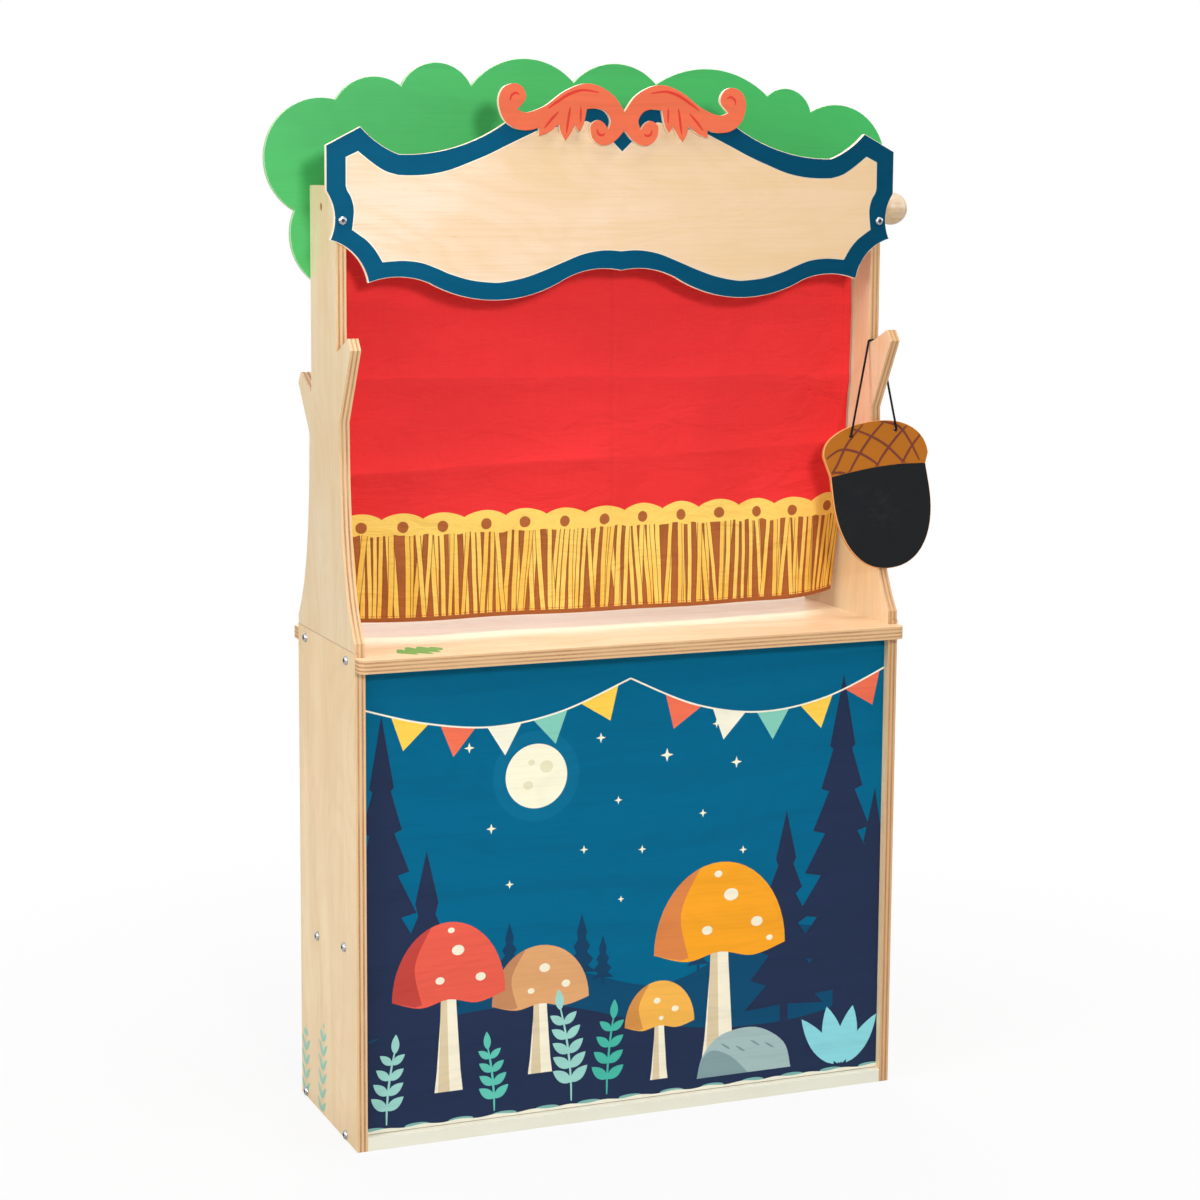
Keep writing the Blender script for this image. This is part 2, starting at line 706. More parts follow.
def ellipse(centre, half_width, half_height, steps=36, start=0.0, sweep=360.0):
    angle = np.radians(start + np.linspace(0, sweep, steps, endpoint=sweep < 360))
    return np.asarray(centre) + np.stack([half_width * np.cos(angle), half_height * np.sin(angle)], -1)


def bolt_holes(*drops):
    """Holes through a board in front of or behind both posts, each at a drop from the post's top."""
    radius = 0.0028
    return [ellipse((way * POST_MIDDLE, POST_TOP - drop), radius, radius, 24)
            for way in (-1, 1) for drop in drops]


def stroke(knots, width, tip=0.12, steps=6):
    """Painted line as a closed loop: the smooth curve through knots, widest in the middle."""
    knots = np.asarray(knots, float)
    line = curve(knots, steps) if len(knots) > 2 else np.linspace(knots[0], knots[1], 9)
    run = np.gradient(line, axis=0)
    side = np.stack([-run[:, 1], run[:, 0]], -1) / np.linalg.norm(run, axis=1, keepdims=True)
    share = np.linspace(0, 1, len(line))
    half = width / 2 * (tip + (1 - tip) * np.sin(np.pi * share) ** 0.6)
    half[[0, -1]] = width / 2 * tip
    return np.vstack([line + side * half[:, None], (line - side * half[:, None])[::-1]])


# structural plywood

def sanded_copy(node_name, normal, materials, radius):
    """A CAD board's own mesh, merged, its flat facets joined and its edges sanded round.

    Faces square to the normal get the first material and the sawn edges the second.
    """
    shape = bmesh.new()
    shape.from_mesh(CAD_NODES[node_name].data)
    bmesh.ops.remove_doubles(shape, verts=shape.verts, dist=1e-5)
    flattest = math.radians(0.6)
    bmesh.ops.dissolve_limit(shape, angle_limit=flattest, verts=shape.verts, edges=shape.edges)
    mesh = bpy.data.meshes.new(node_name + "_dressed")
    shape.to_mesh(mesh)
    shape.free()
    for material in materials:
        mesh.materials.append(material)
    square = np.abs(face_vectors(mesh, "normal") @ np.asarray(normal)) > 0.8
    set_kinds(mesh, np.where(square, 0, 1))
    mesh.shade_smooth()
    piece = linked(node_name + "_dressed", mesh)
    sanding = piece.modifiers.new("sanded edges", "BEVEL")
    sanding.width = radius
    sanding.segments = 2
    sanding.limit_method = "ANGLE"
    sanding.angle_limit = math.radians(35)
    evening = piece.modifiers.new("even faces", "WEIGHTED_NORMAL")
    evening.weight = 100
    evening.keep_sharp = True
    return piece


def outer_face_only(board, thickness):
    """Share that is 1 on the outer face of a board and 0 on its inner one."""
    return split(board)[2].ramp(thickness * 0.4, thickness * 0.6)


def seam_shadow(board, tone):
    """Dirt and shade in the joint between lower and upper panels; the board's X is height."""
    gap = abs(split(board)[0] - (COUNTER_TOP + 0.0045))
    line = gap.ramp(0.0009, 0.0003) * 0.6
    return mixed(line * outer_face_only(board, SIDE_PLY), tone, (0.34, 0.17, 0.07))


def sprig_marks(board, tone):
    """Two mint sprigs low on the left side; the board's X is height and Y is depth from the middle."""
    up, depth, _ = split(board)
    masks = []
    for foot_y, foot_z, tall, lean in ((0.094, 0.006, 0.082, -0.03), (0.030, 0.003, 0.108, -0.10)):
        rise = up - foot_z
        masks += placed("sprig", Across=depth - foot_y - rise * lean, Up=rise, Tall=tall)
    cover = masks[0].maths("MAXIMUM", masks[1]) * outer_face_only(board, SIDE_PLY)
    return mixed(cover * 0.88, tone, colours().mint)


def counter_leaf(board, tone):
    """A lobed leaf on the counter: its half-width swells along the midrib, scalloped by a sine."""
    place = {"Vector": board, "Location": (-0.2805, -0.0965, 0.0), "Rotation": (0.0, 0.0, math.radians(16))}
    along, across, _ = split(added(board.tree, "Mapping", place, vector_type="TEXTURE"))
    share = along.maths("DIVIDE", 0.060, clamp=True)
    swell = (share * math.pi).maths("SINE") ** 0.7
    side = abs(across)
    lobes = abs(((share - side * 5.0) * (4.0 * math.pi)).maths("SINE"))
    gap = swell * 0.026 * (lobes * 0.55 + 0.45) - side
    cover = gap.ramp(0.0, 0.0004) * outer_face_only(board, BOARD_PLY)
    leaf = mixed(side.ramp(0.0008, 0.0004) * 0.6, colours().grass, (0.36, 0.56, 0.16))
    return mixed(cover, tone, leaf)


def warmer_lip(board, tone):
    """The counter's veneer is darker towards the right end of its front lip."""
    along, across, _ = split(board)
    share = along.ramp(-0.1, 0.3) * across.ramp(-0.06, -0.10)
    return mixed(share * 0.55, tone, paint(222, 180, 134))


def cream_material():
    """Cream paint that lets the wood's grain through as a bump."""
    made, tree = new_material("cream_paint")
    board = board_vector(tree, FLAT, FLAT)
    streak, _, height = placed("birch_figure", Board=board)
    tone = mixed(placed("rub_marks", Vector=board)[0] * 0.5, colours().cream, (0.74, 0.72, 0.58))
    return shaded(made, tone, streak.ramp(0.0, 1.0, 0.42, 0.56), height, 0.12, 0.0002)


class THEATRE_OT_panels(bpy.types.Operator):
    """Dress the four side panels, the counter, the bottom board and the shelf in sanded birch plywood"""
    bl_idname = "theatre.panels"
    bl_label = "Plywood Panels"

    def execute(self, context):
        c, sanded = colours(), sizes().sanded_edge
        seed = 0.0
        for kind, light in (("lower", c.birch), ("upper", paint(234, 214, 180))):
            for side, x in (("left", -INNER_HALF_WIDTH), ("right", HALF_WIDTH)):
                seed += 1.0
                marks = []
                if side == "left":
                    marks = [seam_shadow, sprig_marks] if kind == "lower" else [seam_shadow]
                tint = c.ply_light if side == "left" else paint(204, 165, 120)
                place = ((x, 0.0, 0.0), UPRIGHT_SIDE)
                face = veneer_material(f"birch_face_{kind}_{side}", *place, seed, light, marks)
                edge = edge_material(f"ply_edge_{kind}_{side}", *place, SIDE_PLY, 5, tint)
                piece = sanded_copy(f"{kind}_side_{side}", (1.0, 0.0, 0.0), [face, edge], sanded)
                settle(piece, "stand", "birch_ply", f"{kind}_side_{side}")
        up = (0.0, 0.0, 1.0)
        top = tuple(low("counter_board") * up)
        marks = [warmer_lip, counter_leaf]
        face = veneer_material("birch_face_counter", top, FLAT, 6.0, paint(250, 225, 190), marks, 0.18)
        edge = edge_material("ply_edge_counter", top, FLAT, BOARD_PLY, 7, paint(214, 177, 131), 0.78)
        counter = sanded_copy("counter_board", up, [face, edge], sizes().counter_edge)
        settle(counter, "stand", "birch_ply", "counter_board")
        bottom = sanded_copy("bottom_board", up, [cream_material()] * 2, sanded)
        settle(bottom, "stand", "bottom_board", "bottom_board")
        normal = np.array([0.0, math.sin(SHELF_SLOPE), math.cos(SHELF_SLOPE)])
        tilt = (-SHELF_SLOPE, 0.0, 0.0)
        origin = SHELF_MIDDLE - normal * BOARD_PLY / 2
        face = veneer_material("birch_face_shelf", origin, tilt, 8.0)
        edge = edge_material("ply_edge_shelf", origin, tilt, BOARD_PLY, 7)
        shelf = sanded_copy("display_shelf", normal, [face, edge], sanded)
        settle(shelf, "stand", "birch_ply", "display_shelf")
        return {"FINISHED"}


# picture panel

MOON_RING, MOON, CRATER = (8, 104, 140), (243, 238, 210), (226, 219, 184)
STARLIGHT, FAR_HILL, FAR_FIR = (240, 236, 205), (14, 72, 106), (22, 62, 94)
CREAM_WHITE, GILLS = (238, 230, 205), (214, 196, 160)
FLAGS = ((236, 112, 82), (250, 205, 80), (130, 200, 180), (240, 236, 214))
# in millimetres: place and reach of a star; place, height and width of a fir, and its tiers if near
STARS = (
    (-130, 405, 7), (-88, 348, 5), (-42, 420, 8), (18, 372, 5), (40, 446, 6), (-12, 312, 5), (172, 352, 6),
    (60, 318, 5), (-140, 300, 5), (198, 446, 6), (-60, 262, 4), (150, 286, 5), (14, 256, 4), (-104, 452, 5),
)
DISTANT_FIRS = (
    (-118, 168, 84, 38), (-84, 160, 62, 30), (-150, 176, 66, 32), (36, 158, 58, 28), (62, 164, 80, 36),
    (150, 176, 66, 30),
)
NEAR_FIRS = (
    (-268, 60, 440, 150, 7), (-196, 72, 270, 104, 6), (-312, 60, 300, 110, 6), (300, 70, 420, 128, 7),
    (248, 84, 250, 92, 5),
)
SWAGS = (
    ((-330, 508), (-246, 474), (-162, 462), (-78, 476), (4, 512)),
    ((4, 512), (88, 480), (170, 468), (252, 478), (330, 500)),
)
# place, height, width, colours of cap and shade, and spots as shares of the width and height
LARGE_TOADSTOOLS = (
    (-112, 52, 236, 168, (241, 160, 38), (214, 128, 70),
     ((-0.28, 0.12, 0.045), (-0.08, 0.27, 0.055), (0.1, 0.1, 0.04), (0.02, 0.38, 0.03),
      (-0.38, 0.03, 0.025))),
    (-36, 36, 118, 88, (238, 176, 78), (206, 140, 70),
     ((-0.22, 0.14, 0.05), (0.04, 0.24, 0.05), (-0.02, 0.06, 0.035))),
)
RIGHT_TOADSTOOLS = (
    (112, 62, 150, 118, (216, 160, 108), (188, 130, 90),
     ((-0.26, 0.12, 0.045), (-0.04, 0.26, 0.055), (0.1, 0.09, 0.035))),
    (222, 54, 196, 134, (226, 92, 74), (188, 68, 60),
     ((-0.28, 0.1, 0.045), (-0.08, 0.27, 0.055), (0.08, 0.1, 0.04), (-0.02, 0.39, 0.03))),
)
# foot, height, lean, pairs of leaves, length of a leaf and colour; a tuft's leaves are x, height and lean
SPRIGS = (
    ((30, 26), 92, -8, 4, 27, (70, 178, 158)), ((74, 24), 112, 14, 5, 29, (150, 204, 194)),
    ((168, 24), 76, 8, 4, 24, (94, 190, 172)), ((296, 24), 84, -10, 4, 26, (150, 204, 194)),
)
TUFT = ((-300, 52, -20), (-282, 66, -6), (-262, 68, 9), (-244, 56, 24), (-272, 44, 2))
PICTURE_HALF = 330


def leaf_loop(base, tip, half_width):
    """Closed leaf: half-width times a sine that leans towards the base, on both sides of its midrib."""
    base, tip = np.asarray(base, float), np.asarray(tip, float)
    run = tip - base
    side = np.array([-run[1], run[0]]) / np.linalg.norm(run)
    share = np.linspace(0, 1, 11)[:, None]
    half = half_width * np.sin(np.pi * share ** 0.85) ** 0.85
    line = base + share * run
    return np.vstack([line + side * half, (line - side * half)[-2:0:-1]])


def sparkle(centre, reach):
    """Four-pointed star: every second of its eight corners is drawn in."""
    angle = np.arange(8) * np.pi / 4 + np.pi / 2
    radius = reach * np.where(np.arange(8) % 2 == 0, 1.0, 0.34)
    return np.asarray(centre) + radius[:, None] * np.stack([np.cos(angle), np.sin(angle)], -1)


def fir_loop(x, foot, tall, wide, tiers):
    """Fir tree: a trunk, and tiers that step in towards the top like a saw."""
    tier = np.arange(tiers)
    out = wide / 2 * (1 - tier / (tiers + 0.4)) ** 0.9
    base = foot + tall * (0.12 + 0.8 * tier / tiers)
    notch = np.stack([out * 0.46, base + tall * 0.105], -1)
    right = np.stack([np.stack([out, base], -1), notch], 1).reshape(-1, 2)[:-1]
    trunk = [[wide * 0.05, foot], [wide * 0.05, base[0] + tall * 0.012]]
    half = np.vstack([trunk, right, [[0, foot + tall]]])
    return np.vstack([half, half[:-1][::-1] * [-1, 1]]) + [x, 0]


def toadstool(x, foot, tall, wide, cap, shade, spots):
    """Toadstool: a stem that swells at its foot, a domed cap over its gills, its shade and spots."""
    rim = foot + tall * 0.56

    def on_cap(points):
        return np.asarray(points) * [wide, tall] + [x, rim]

    stem = np.array([[-0.12, 0], [-0.10, 0.12], [-0.065, 0.5], [-0.06, 0.62], [0.06, 0.62], [0.07, 0.5],
                     [0.11, 0.12], [0.13, 0]]) * [wide, tall] + [x, foot]
    dome = ellipse((x, rim), wide / 2, tall * 0.44, 25, 0, 180)
    low_rim = spline(dome, on_cap([[-0.25, -0.05], [0, -0.015], [0.25, -0.05], [0.495, 0]]), 5)
    right_side = ellipse((x, rim), wide / 2, tall * 0.44, 14, 0, 72)
    inner_side = curve(on_cap([[0.155, 0.418], [0.3, 0.2], [0.24, -0.03]]), 5)
    shadow = np.vstack([right_side, inner_side, on_cap([[0.3, -0.04], [0.4, -0.02]])])
    made = [(stem, CREAM_WHITE), (stem * [0.42, 1] + [x * 0.58 + wide * 0.045, 0], GILLS),
            (low_rim, cap), (shadow, shade)]
    for across, up, size in spots:
        spot = ellipse(on_cap([across, up]), size * wide, size * wide * 0.8, 20)
        made.append((spot, CREAM_WHITE))
    return made


def sprig_loops(base, tall, lean, pairs, leaf, tint):
    """Sprig: a curved stem with pairs of leaves that shorten towards its tip, and a leaf on top."""

    def on_stem(share):
        return np.asarray(base) + np.stack([lean * share ** 2, tall * share], -1)

    stem = on_stem(np.linspace(0, 1, 6))
    made = [stroke(stem, 2.6, 0.5)]
    for share in 0.2 + 0.62 * np.arange(pairs) / (pairs - 1):
        size = leaf * (1 - 0.35 * share)
        for way in (-1, 1):
            angle = math.radians(90 - way * 52 - lean * 0.25)
            tip = on_stem(share) + size * np.array([math.cos(angle), math.sin(angle)])
            made.append(leaf_loop(on_stem(share), tip, size * 0.24))
    made.append(leaf_loop(stem[-1] - [0, 3], stem[-1] + [lean * 0.15, leaf * 0.75], leaf * 0.18))
    return [(loop, tint) for loop in made]


def hill(knots, tint):
    """Ground below a smooth line across the picture."""
    corners = [[PICTURE_HALF, 0], [-PICTURE_HALF, 0]]
    return np.vstack([curve(knots, 12), corners]), tint


def bunting():
    """Strings of flags: at every eighth point of a swag a triangle hangs square to it."""
    made, number = [], 0
    for swag in SWAGS:
        line = curve(swag, 12)
        for index in range(6, len(line) - 3, 8):
            run = line[index + 3] - line[index]
            out, down = np.array([run[1], run[0]]) / np.linalg.norm(run) * 34
            tip = line[index] + [out, -abs(down)]
            made.append((np.array([line[index - 3], line[index + 3], tip]), FLAGS[number % 4]))
            number += 1
        made.append((stroke(swag, 2.0, 1.0, 12), FLAGS[3]))
    return made


def stone():
    """Boulder with a shaded side and a row of short scratches."""
    body = curve([[-206, 30], [-196, 62], [-160, 84], [-116, 80], [-92, 58], [-84, 30]], 6)
    side = curve([[-150, 30], [-128, 52], [-104, 62], [-90, 52], [-84, 30]], 6)
    made = [(body, (160, 184, 182)), (side, (128, 154, 156))]
    for number in range(4):
        x, z = -184 + 19 * number, 56 + 5 * (number % 2)
        made.append((stroke([[x, z], [x + 12, z + 8]], 2.6), (120, 146, 150)))
    return made


def picture_prints():
    """A plain night wood in millimetres, painted from back to front: sky, hills, trees, toadstools."""
    c = colours()
    made = [(ellipse((118, 408), 52, 52, 60), MOON_RING), (ellipse((118, 408), 37, 37, 60), MOON)]
    for x, z, half_width, half_height, steps in (
            (106, 418, 8, 7, 20), (128, 398, 6, 5, 20), (124, 424, 4, 3.4, 16)):
        made.append((ellipse((x, z), half_width, half_height, steps), CRATER))
    made += [(sparkle((x, z), reach), STARLIGHT) for x, z, reach in STARS]
    made.append(hill([[-330, 168], [-190, 204], [-40, 150], [120, 186], [330, 158]], FAR_HILL))
    made += [(fir_loop(*fir, 4), FAR_FIR) for fir in DISTANT_FIRS]
    prints = [(loop, paint(*tint)) for loop, tint in made]
    near = [[-330, 112], [-200, 88], [-60, 96], [90, 138], [210, 142], [330, 118]]
    prints.append(hill(near, c.navy))
    prints += [(fir_loop(*fir), c.navy) for fir in NEAR_FIRS]
    made = bunting()
    for measures in LARGE_TOADSTOOLS:
        made += toadstool(*measures)
    made += stone()
    for measures in RIGHT_TOADSTOOLS:
        made += toadstool(*measures)
    for measures in SPRIGS:
        made += sprig_loops(*measures)
    for x, tall, lean in TUFT:
        root = (-272 + (x + 272) * 0.3, 26)
        made.append((leaf_loop(root, (x + lean, 30 + tall), tall * 0.2), (136, 208, 216)))
    made += [(ellipse((x, 19.5), 15, 3.2, 16), (120, 172, 168)) for x in range(-312, 320, 52)]
    prints += [(loop, paint(*tint)) for loop, tint in made]
    share = np.linspace(0, 1, 133)
    wave = np.stack([PICTURE_HALF * (2 * share - 1), 19.6 + 0.9 * np.sin(30 * np.pi * share)], -1)
    prints.append((np.vstack([wave, [[PICTURE_HALF, 0], [-PICTURE_HALF, 0]]]), c.cream))
    return [(loop * [-1, 1], solid_ink(tint)) for loop, tint in prints]


def front_board(name, node_name, outline, prints, base, seed, holes=(), edge=(None, 0.88), arris=(1, 1),
                back=None, rounding=None, **look):
    """Board in the place of an upright CAD board: printed face, sawn edge and bare back or one given."""
    front, rear = low(node_name)[1], high(node_name)[1]
    origin = (0.0, rear, 0.0)

    def lay_out(across, up, depth):
        return np.stack([across, front + depth, up], -1)

    materials = [
        printed_material(node_name + "_print", origin, seed, **look),
        edge_material("ply_edge_" + node_name, origin, UPRIGHT_FRONT, rear - front, 3, *edge),
        back or veneer_material("birch_back_" + node_name, origin, UPRIGHT_FRONT, seed + 1.0),
    ]
    piece = flat_board(name, outline, holes, prints, solid_ink(base), rear - front,
                       rounding or sizes().trim_edge, lay_out, materials, arris)
    return settle(piece, "stand", node_name, node_name)


class THEATRE_OT_picture(bpy.types.Operator):
    """Build the printed picture panel that closes the front of the cabinet"""
    bl_idname = "theatre.picture"
    bl_label = "Picture Panel"

    def execute(self, context):
        (x0, _, z0), (x1, _, z1) = low("picture_panel"), high("picture_panel")
        outline = np.array([[x0, z0], [x1, z0], [x1, z1], [x0, z1]])
        margin = 0.0008
        prints = [(np.clip(loop * MM, outline[0] + margin, outline[2] - margin), ink)
                  for loop, ink in picture_prints()]
        front_board("picture_print", "picture_panel", outline, prints, colours().night, 11.0, gloss=0.4,
                    rounding=0.0005)
        return {"FINISHED"}


# boards above the stage

SIGN_HALF = HALF_WIDTH + 0.012
SIGN_FOOT = POST_TOP - 0.125
SIGN_RISE = 0.2185
PALE_EDGE = (paint(252, 238, 214), 0.2)


def carried_on(outline, joint, *parts):
    """Outline with further arcs or smooth curves: each part goes to joint as its last values."""
    for part in parts:
        outline = joint(outline, *part)
    return outline


def sign_outline():
    """Outer edge of the sign, from arcs through shares of its half-width and rise."""
    half = np.array([[0, 0.146]]) * [SIGN_HALF, SIGN_RISE] + [0, SIGN_FOOT]

    def at(*points):
        return np.asarray(points) * [SIGN_HALF, SIGN_RISE] + [0, SIGN_FOOT]

    half = carried_on(
        half, arc, at((0.06, 0.156), (0.2, 0.102)), at((0.45, 0.0), (0.663, 0.09)),
        at((0.757, 0.12), (0.863, 0.093)), at((0.901, 0.22), (0.988, 0.305)),
        at((0.974, 0.437), (0.997, 0.537)))
    half = np.vstack([half, at((1, 0.545), (1, 0.768), (0.887, 0.86))])
    half = carried_on(
        half, arc, at((0.826, 0.778), (0.763, 0.728)), at((0.591, 0.758), (0.406, 0.889)))
    return mirrored(np.vstack([half, at((0.325, 0.935), (0.135, 1), (0.087, 1), (0, 0.884))]))


def sign_window():
    """Edge of the bare birch inside the blue border, drawn in millimetres."""
    half = np.array([[0, 992.9]])
    for knots in (
            ((20.6, 994), (44.9, 990.3), (69.1, 981.5), (93.1, 972), (117, 964), (142.3, 959.2),
             (156.5, 959.1), (180, 961.9), (203.4, 968.6), (217.5, 974.4), (236.5, 981), (255.4, 983.4),
             (268.9, 983), (281, 982)),
            ((289, 994.8), (298.3, 1005), (307.6, 1011.6), (314.8, 1016.4)),
            ((313.5, 1026.6), (312.7, 1035.4), (313.4, 1043), (315.9, 1051.4), (319.9, 1058.1),
             (321.6, 1063.1))):
        half = spline(half, knots, 4)
    half = np.vstack([half, [[321.5, 1093.3], [308.6, 1099.3]]])
    for knots in (
            ((297.8, 1091), (287.2, 1083.5), (276.6, 1077.9), (263.2, 1074.2)),
            ((244.3, 1074), (224.1, 1075.8), (203.4, 1080.4), (180, 1089), (157, 1098.3), (135.3, 1108.6),
             (102.7, 1123.6))):
        half = spline(half, knots, 4)
    return mirrored(np.vstack([half, [[43.2, 1135.1], [37.1, 1133.1], [10.7, 1112], [0, 1101.7]]]) * MM)


def ornament_outline():
    """Outer edge of the scroll ornament: smooth curves between its tips and notches."""
    curves = (
        ((0.085, 0.81), (0.213, 0.977), (0.337, 1), (0.483, 0.869), (0.629, 0.636), (0.773, 0.517),
         (0.852, 0.563)),
        ((0.79, 0.72), (0.789, 0.842), (0.827, 0.955), (0.893, 0.985), (0.969, 0.895), (0.998, 0.683),
         (0.962, 0.414), (0.875, 0.259), (0.767, 0.224), (0.679, 0.272)),
        ((0.683, 0.135),), ((0.6, 0.2), (0.523, 0.337)), ((0.51, 0.2), (0.474, 0.057)),
        ((0.438, 0.158), (0.394, 0.326)), ((0.372, 0.235), (0.355, 0.221)), ((0.325, 0.36), (0.303, 0.588)),
        ((0.217, 0.598), (0.151, 0.547), (0.112, 0.406), (0.131, 0.259)),
        ((0.165, 0.36), (0.213, 0.411), (0.265, 0.346), (0.276, 0.254), (0.257, 0.105), (0.2, 0.005),
         (0.133, 0.005), (0.067, 0.083), (0, 0.247)),
    )
    half = np.array([[0, 0.553]])
    for knots in curves:
        half = spline(half, knots, 6)
    return mirrored(half * [0.15, 0.0665] + [0, POST_TOP + 0.0465])


def ornament_lines():
    """Lines painted on the ornament, drawn in millimetres and mirrored."""
    right = (
        (((136.5, 1156.5), (135, 1162.3), (130, 1165.3), (125.5, 1163.5)), 2.8),
        (((92, 1149), (81.2, 1156.2), (67, 1164.9), (50.5, 1169.8), (31, 1167.4)), 3.4),
        (((96.5, 1127), (87.7, 1137.3), (79, 1146)), 3.0),
        (((70, 1122), (67.6, 1137.6), (65.4, 1151.6)), 3.0),
        (((52.9, 1134), (52.9, 1152)), 2.6),
        (((33.4, 1127.6), (31.6, 1122), (26.8, 1120.6), (23.8, 1123)), 2.8),
    )
    loops = [stroke(line, width) * MM for line, width in right]
    return loops + [loop * [-1, 1] for loop in loops]


def leaf_outline():
    """Outer edge of the leafy board: lobes as arcs, each through its crown to the crease that ends it."""
    lobes = (
        ((-0.7, -0.02), (-0.52, 0.05)), ((-0.35, -0.02), (-0.17, 0.05)), ((0, -0.02), (0.17, 0.05)),
        ((0.35, -0.02), (0.52, 0.05)), ((0.7, -0.02), (0.84, 0.038)), ((0.916, 0.237), (0.905, 0.344)),
        ((0.991, 0.66), (0.74, 0.797)), ((0.656, 0.9), (0.592, 0.865)), ((0.403, 0.979), (0.221, 0.906)),
        ((0.108, 0.991), (-0.045, 0.906)), ((-0.237, 1), (-0.367, 0.883)), ((-0.48, 0.979), (-0.581, 0.876)),
        ((-0.671, 0.914), (-0.778, 0.814)), ((-0.991, 0.573), (-0.903, 0.344)),
        ((-0.916, 0.237), (-0.84, 0.038)),
    )
    scale, foot = [HALF_WIDTH + 0.0555, 0.2615], [0, POST_TOP - 0.1185]
    outline = np.asarray(lobes[-1][1:]) * scale + foot
    for lobe in lobes:
        outline = arc(outline, *(np.asarray(lobe) * scale + foot))
    return outline[1:]


def warmer_to_the_right(board, tone):
    """The sign's veneer turns from pale to straw yellow along its length."""
    share = split(board)[0].ramp(-0.36, 0.36)
    return mixed(share * 0.72, tone, paint(214, 180, 134))


class THEATRE_OT_sign(bpy.types.Operator):
    """Build the sign board with its blue border and the scroll ornament glued on it"""
    bl_idname = "theatre.sign"
    bl_label = "Sign and Ornament"

    def execute(self, context):
        c = colours()
        window = sign_window()
        line_width = 0.0009
        prints = [(widened(anticlockwise(window), line_width), solid_ink(paint(244, 234, 212))),
                  (window, solid_ink(c.sign_birch, 0.0))]
        sign = front_board("sign_board_printed", "sign_board", sign_outline(), prints, c.blue, 14.0,
                           bolt_holes(0.0375), PALE_EDGE, marks=[warmer_to_the_right], right_end=0.62)
        prints = [(loop, solid_ink(c.coral_groove)) for loop in ornament_lines()]
        front_board("sign_ornament_painted", "sign_ornament", ornament_outline(), prints, c.coral, 16.0,
                    edge=PALE_EDGE, arris=(0, 1), back=sign.data.materials[2], gloss=0.46)
        return {"FINISHED"}


class THEATRE_OT_leaf_board(bpy.types.Operator):
    """Build the leafy board behind the posts"""
    bl_idname = "theatre.leaf_board"
    bl_label = "Leafy Board"

    def execute(self, context):
        front_board("leaf_board_painted", "leaf_board", leaf_outline(), [], colours().leaf_green, 18.0,
                    bolt_holes(0.0235, 0.0785), (paint(150, 214, 160), 0.25), gloss=0.46, shine=0.5)
        return {"FINISHED"}


# chalk board and its cord

CHALK_LEAN = math.asin(0.144341)
CHALK_TILT = math.radians(5.8)
CHALK_MATRIX = Matrix.Rotation(-CHALK_LEAN, 3, "X") @ Matrix.Rotation(-CHALK_TILT, 3, "Y")
CHALK_TURN = np.array(CHALK_MATRIX)
CHALK_PLACE = np.array([0.3242, -0.066079, 0.734117])
CHALK_PLY = 0.005
CHALK_TALL = 0.3445 * (POST_TOP - COUNTER_TOP)
NECK_HALF = 0.364 * CHALK_TALL
HOLE_SPREAD, HOLE_RISE = 0.172 * CHALK_TALL, 0.252 * CHALK_TALL
HOLE_RADIUS = 0.0021


def quarter(roundness):
    """Rounded corner between two half-axes: cosine and sine to the power two over roundness."""
    angle = np.linspace(0, np.pi / 2, 23)[1:]
    over, up = np.maximum(np.cos(angle), 0) ** (2 / roundness), np.sin(angle) ** (2 / roundness)
    over[-1] = 0
    return over, up


def acorn_outline():
    """Acorn: a rounded body below the line where the cap meets it, and a wider lopsided cap above."""
    cap, shoulder, skew, cap_half, body_half, body_shoulder = CHALK_TALL * np.array(
        [0.3324, 0.103, 0.034, 0.3954, 0.3696, 0.16])
    over, down = quarter(2.25)
    foot = -body_shoulder - down[::-1] * (CHALK_TALL - cap - body_shoulder)
    body = np.stack([over[::-1] * body_half, foot], -1)
    over, up = quarter(2.2)
    halves = []
    for side in (1, -1):
        base = shoulder - side * over * skew
        top = np.stack([side * over * cap_half, base + up * (cap - base)], -1)
        neck = [[side * body_half, -body_shoulder], [side * NECK_HALF, 0.0],
                [side * cap_half, shoulder - side * skew]]
        halves.append(np.vstack([body * [side, 1], neck, top]))
    return anticlockwise(np.vstack([halves[0], halves[1][1:-1][::-1]]))


def chalk_layout(across, up, depth):
    """Board's own plane to the theatre's frame: turn, lean and shift."""
    return np.stack([across, depth - CHALK_PLY, up], -1) @ CHALK_TURN.T + CHALK_PLACE


def cap_loop(outline):
    """The cap's edge on the painted face: the rim from neck to neck, and a gentle seam below it."""
    rim = widened(outline, -sizes().trim_edge)
    right, left = [np.abs(outline - [way * NECK_HALF, 0]).sum(1).argmin() for way in (1, -1)]
    over_top = rim[right:left + 1] if left > right else np.vstack([rim[right:], rim[:left + 1]])
    seam = spline(over_top[-1:], [[-0.032, 0.0026], [0.0, 0.004], [0.032, 0.0034]], 6)[1:]
    return np.vstack([over_top, seam, spline(seam[-1:], over_top[:1], 4)[1:-1]])


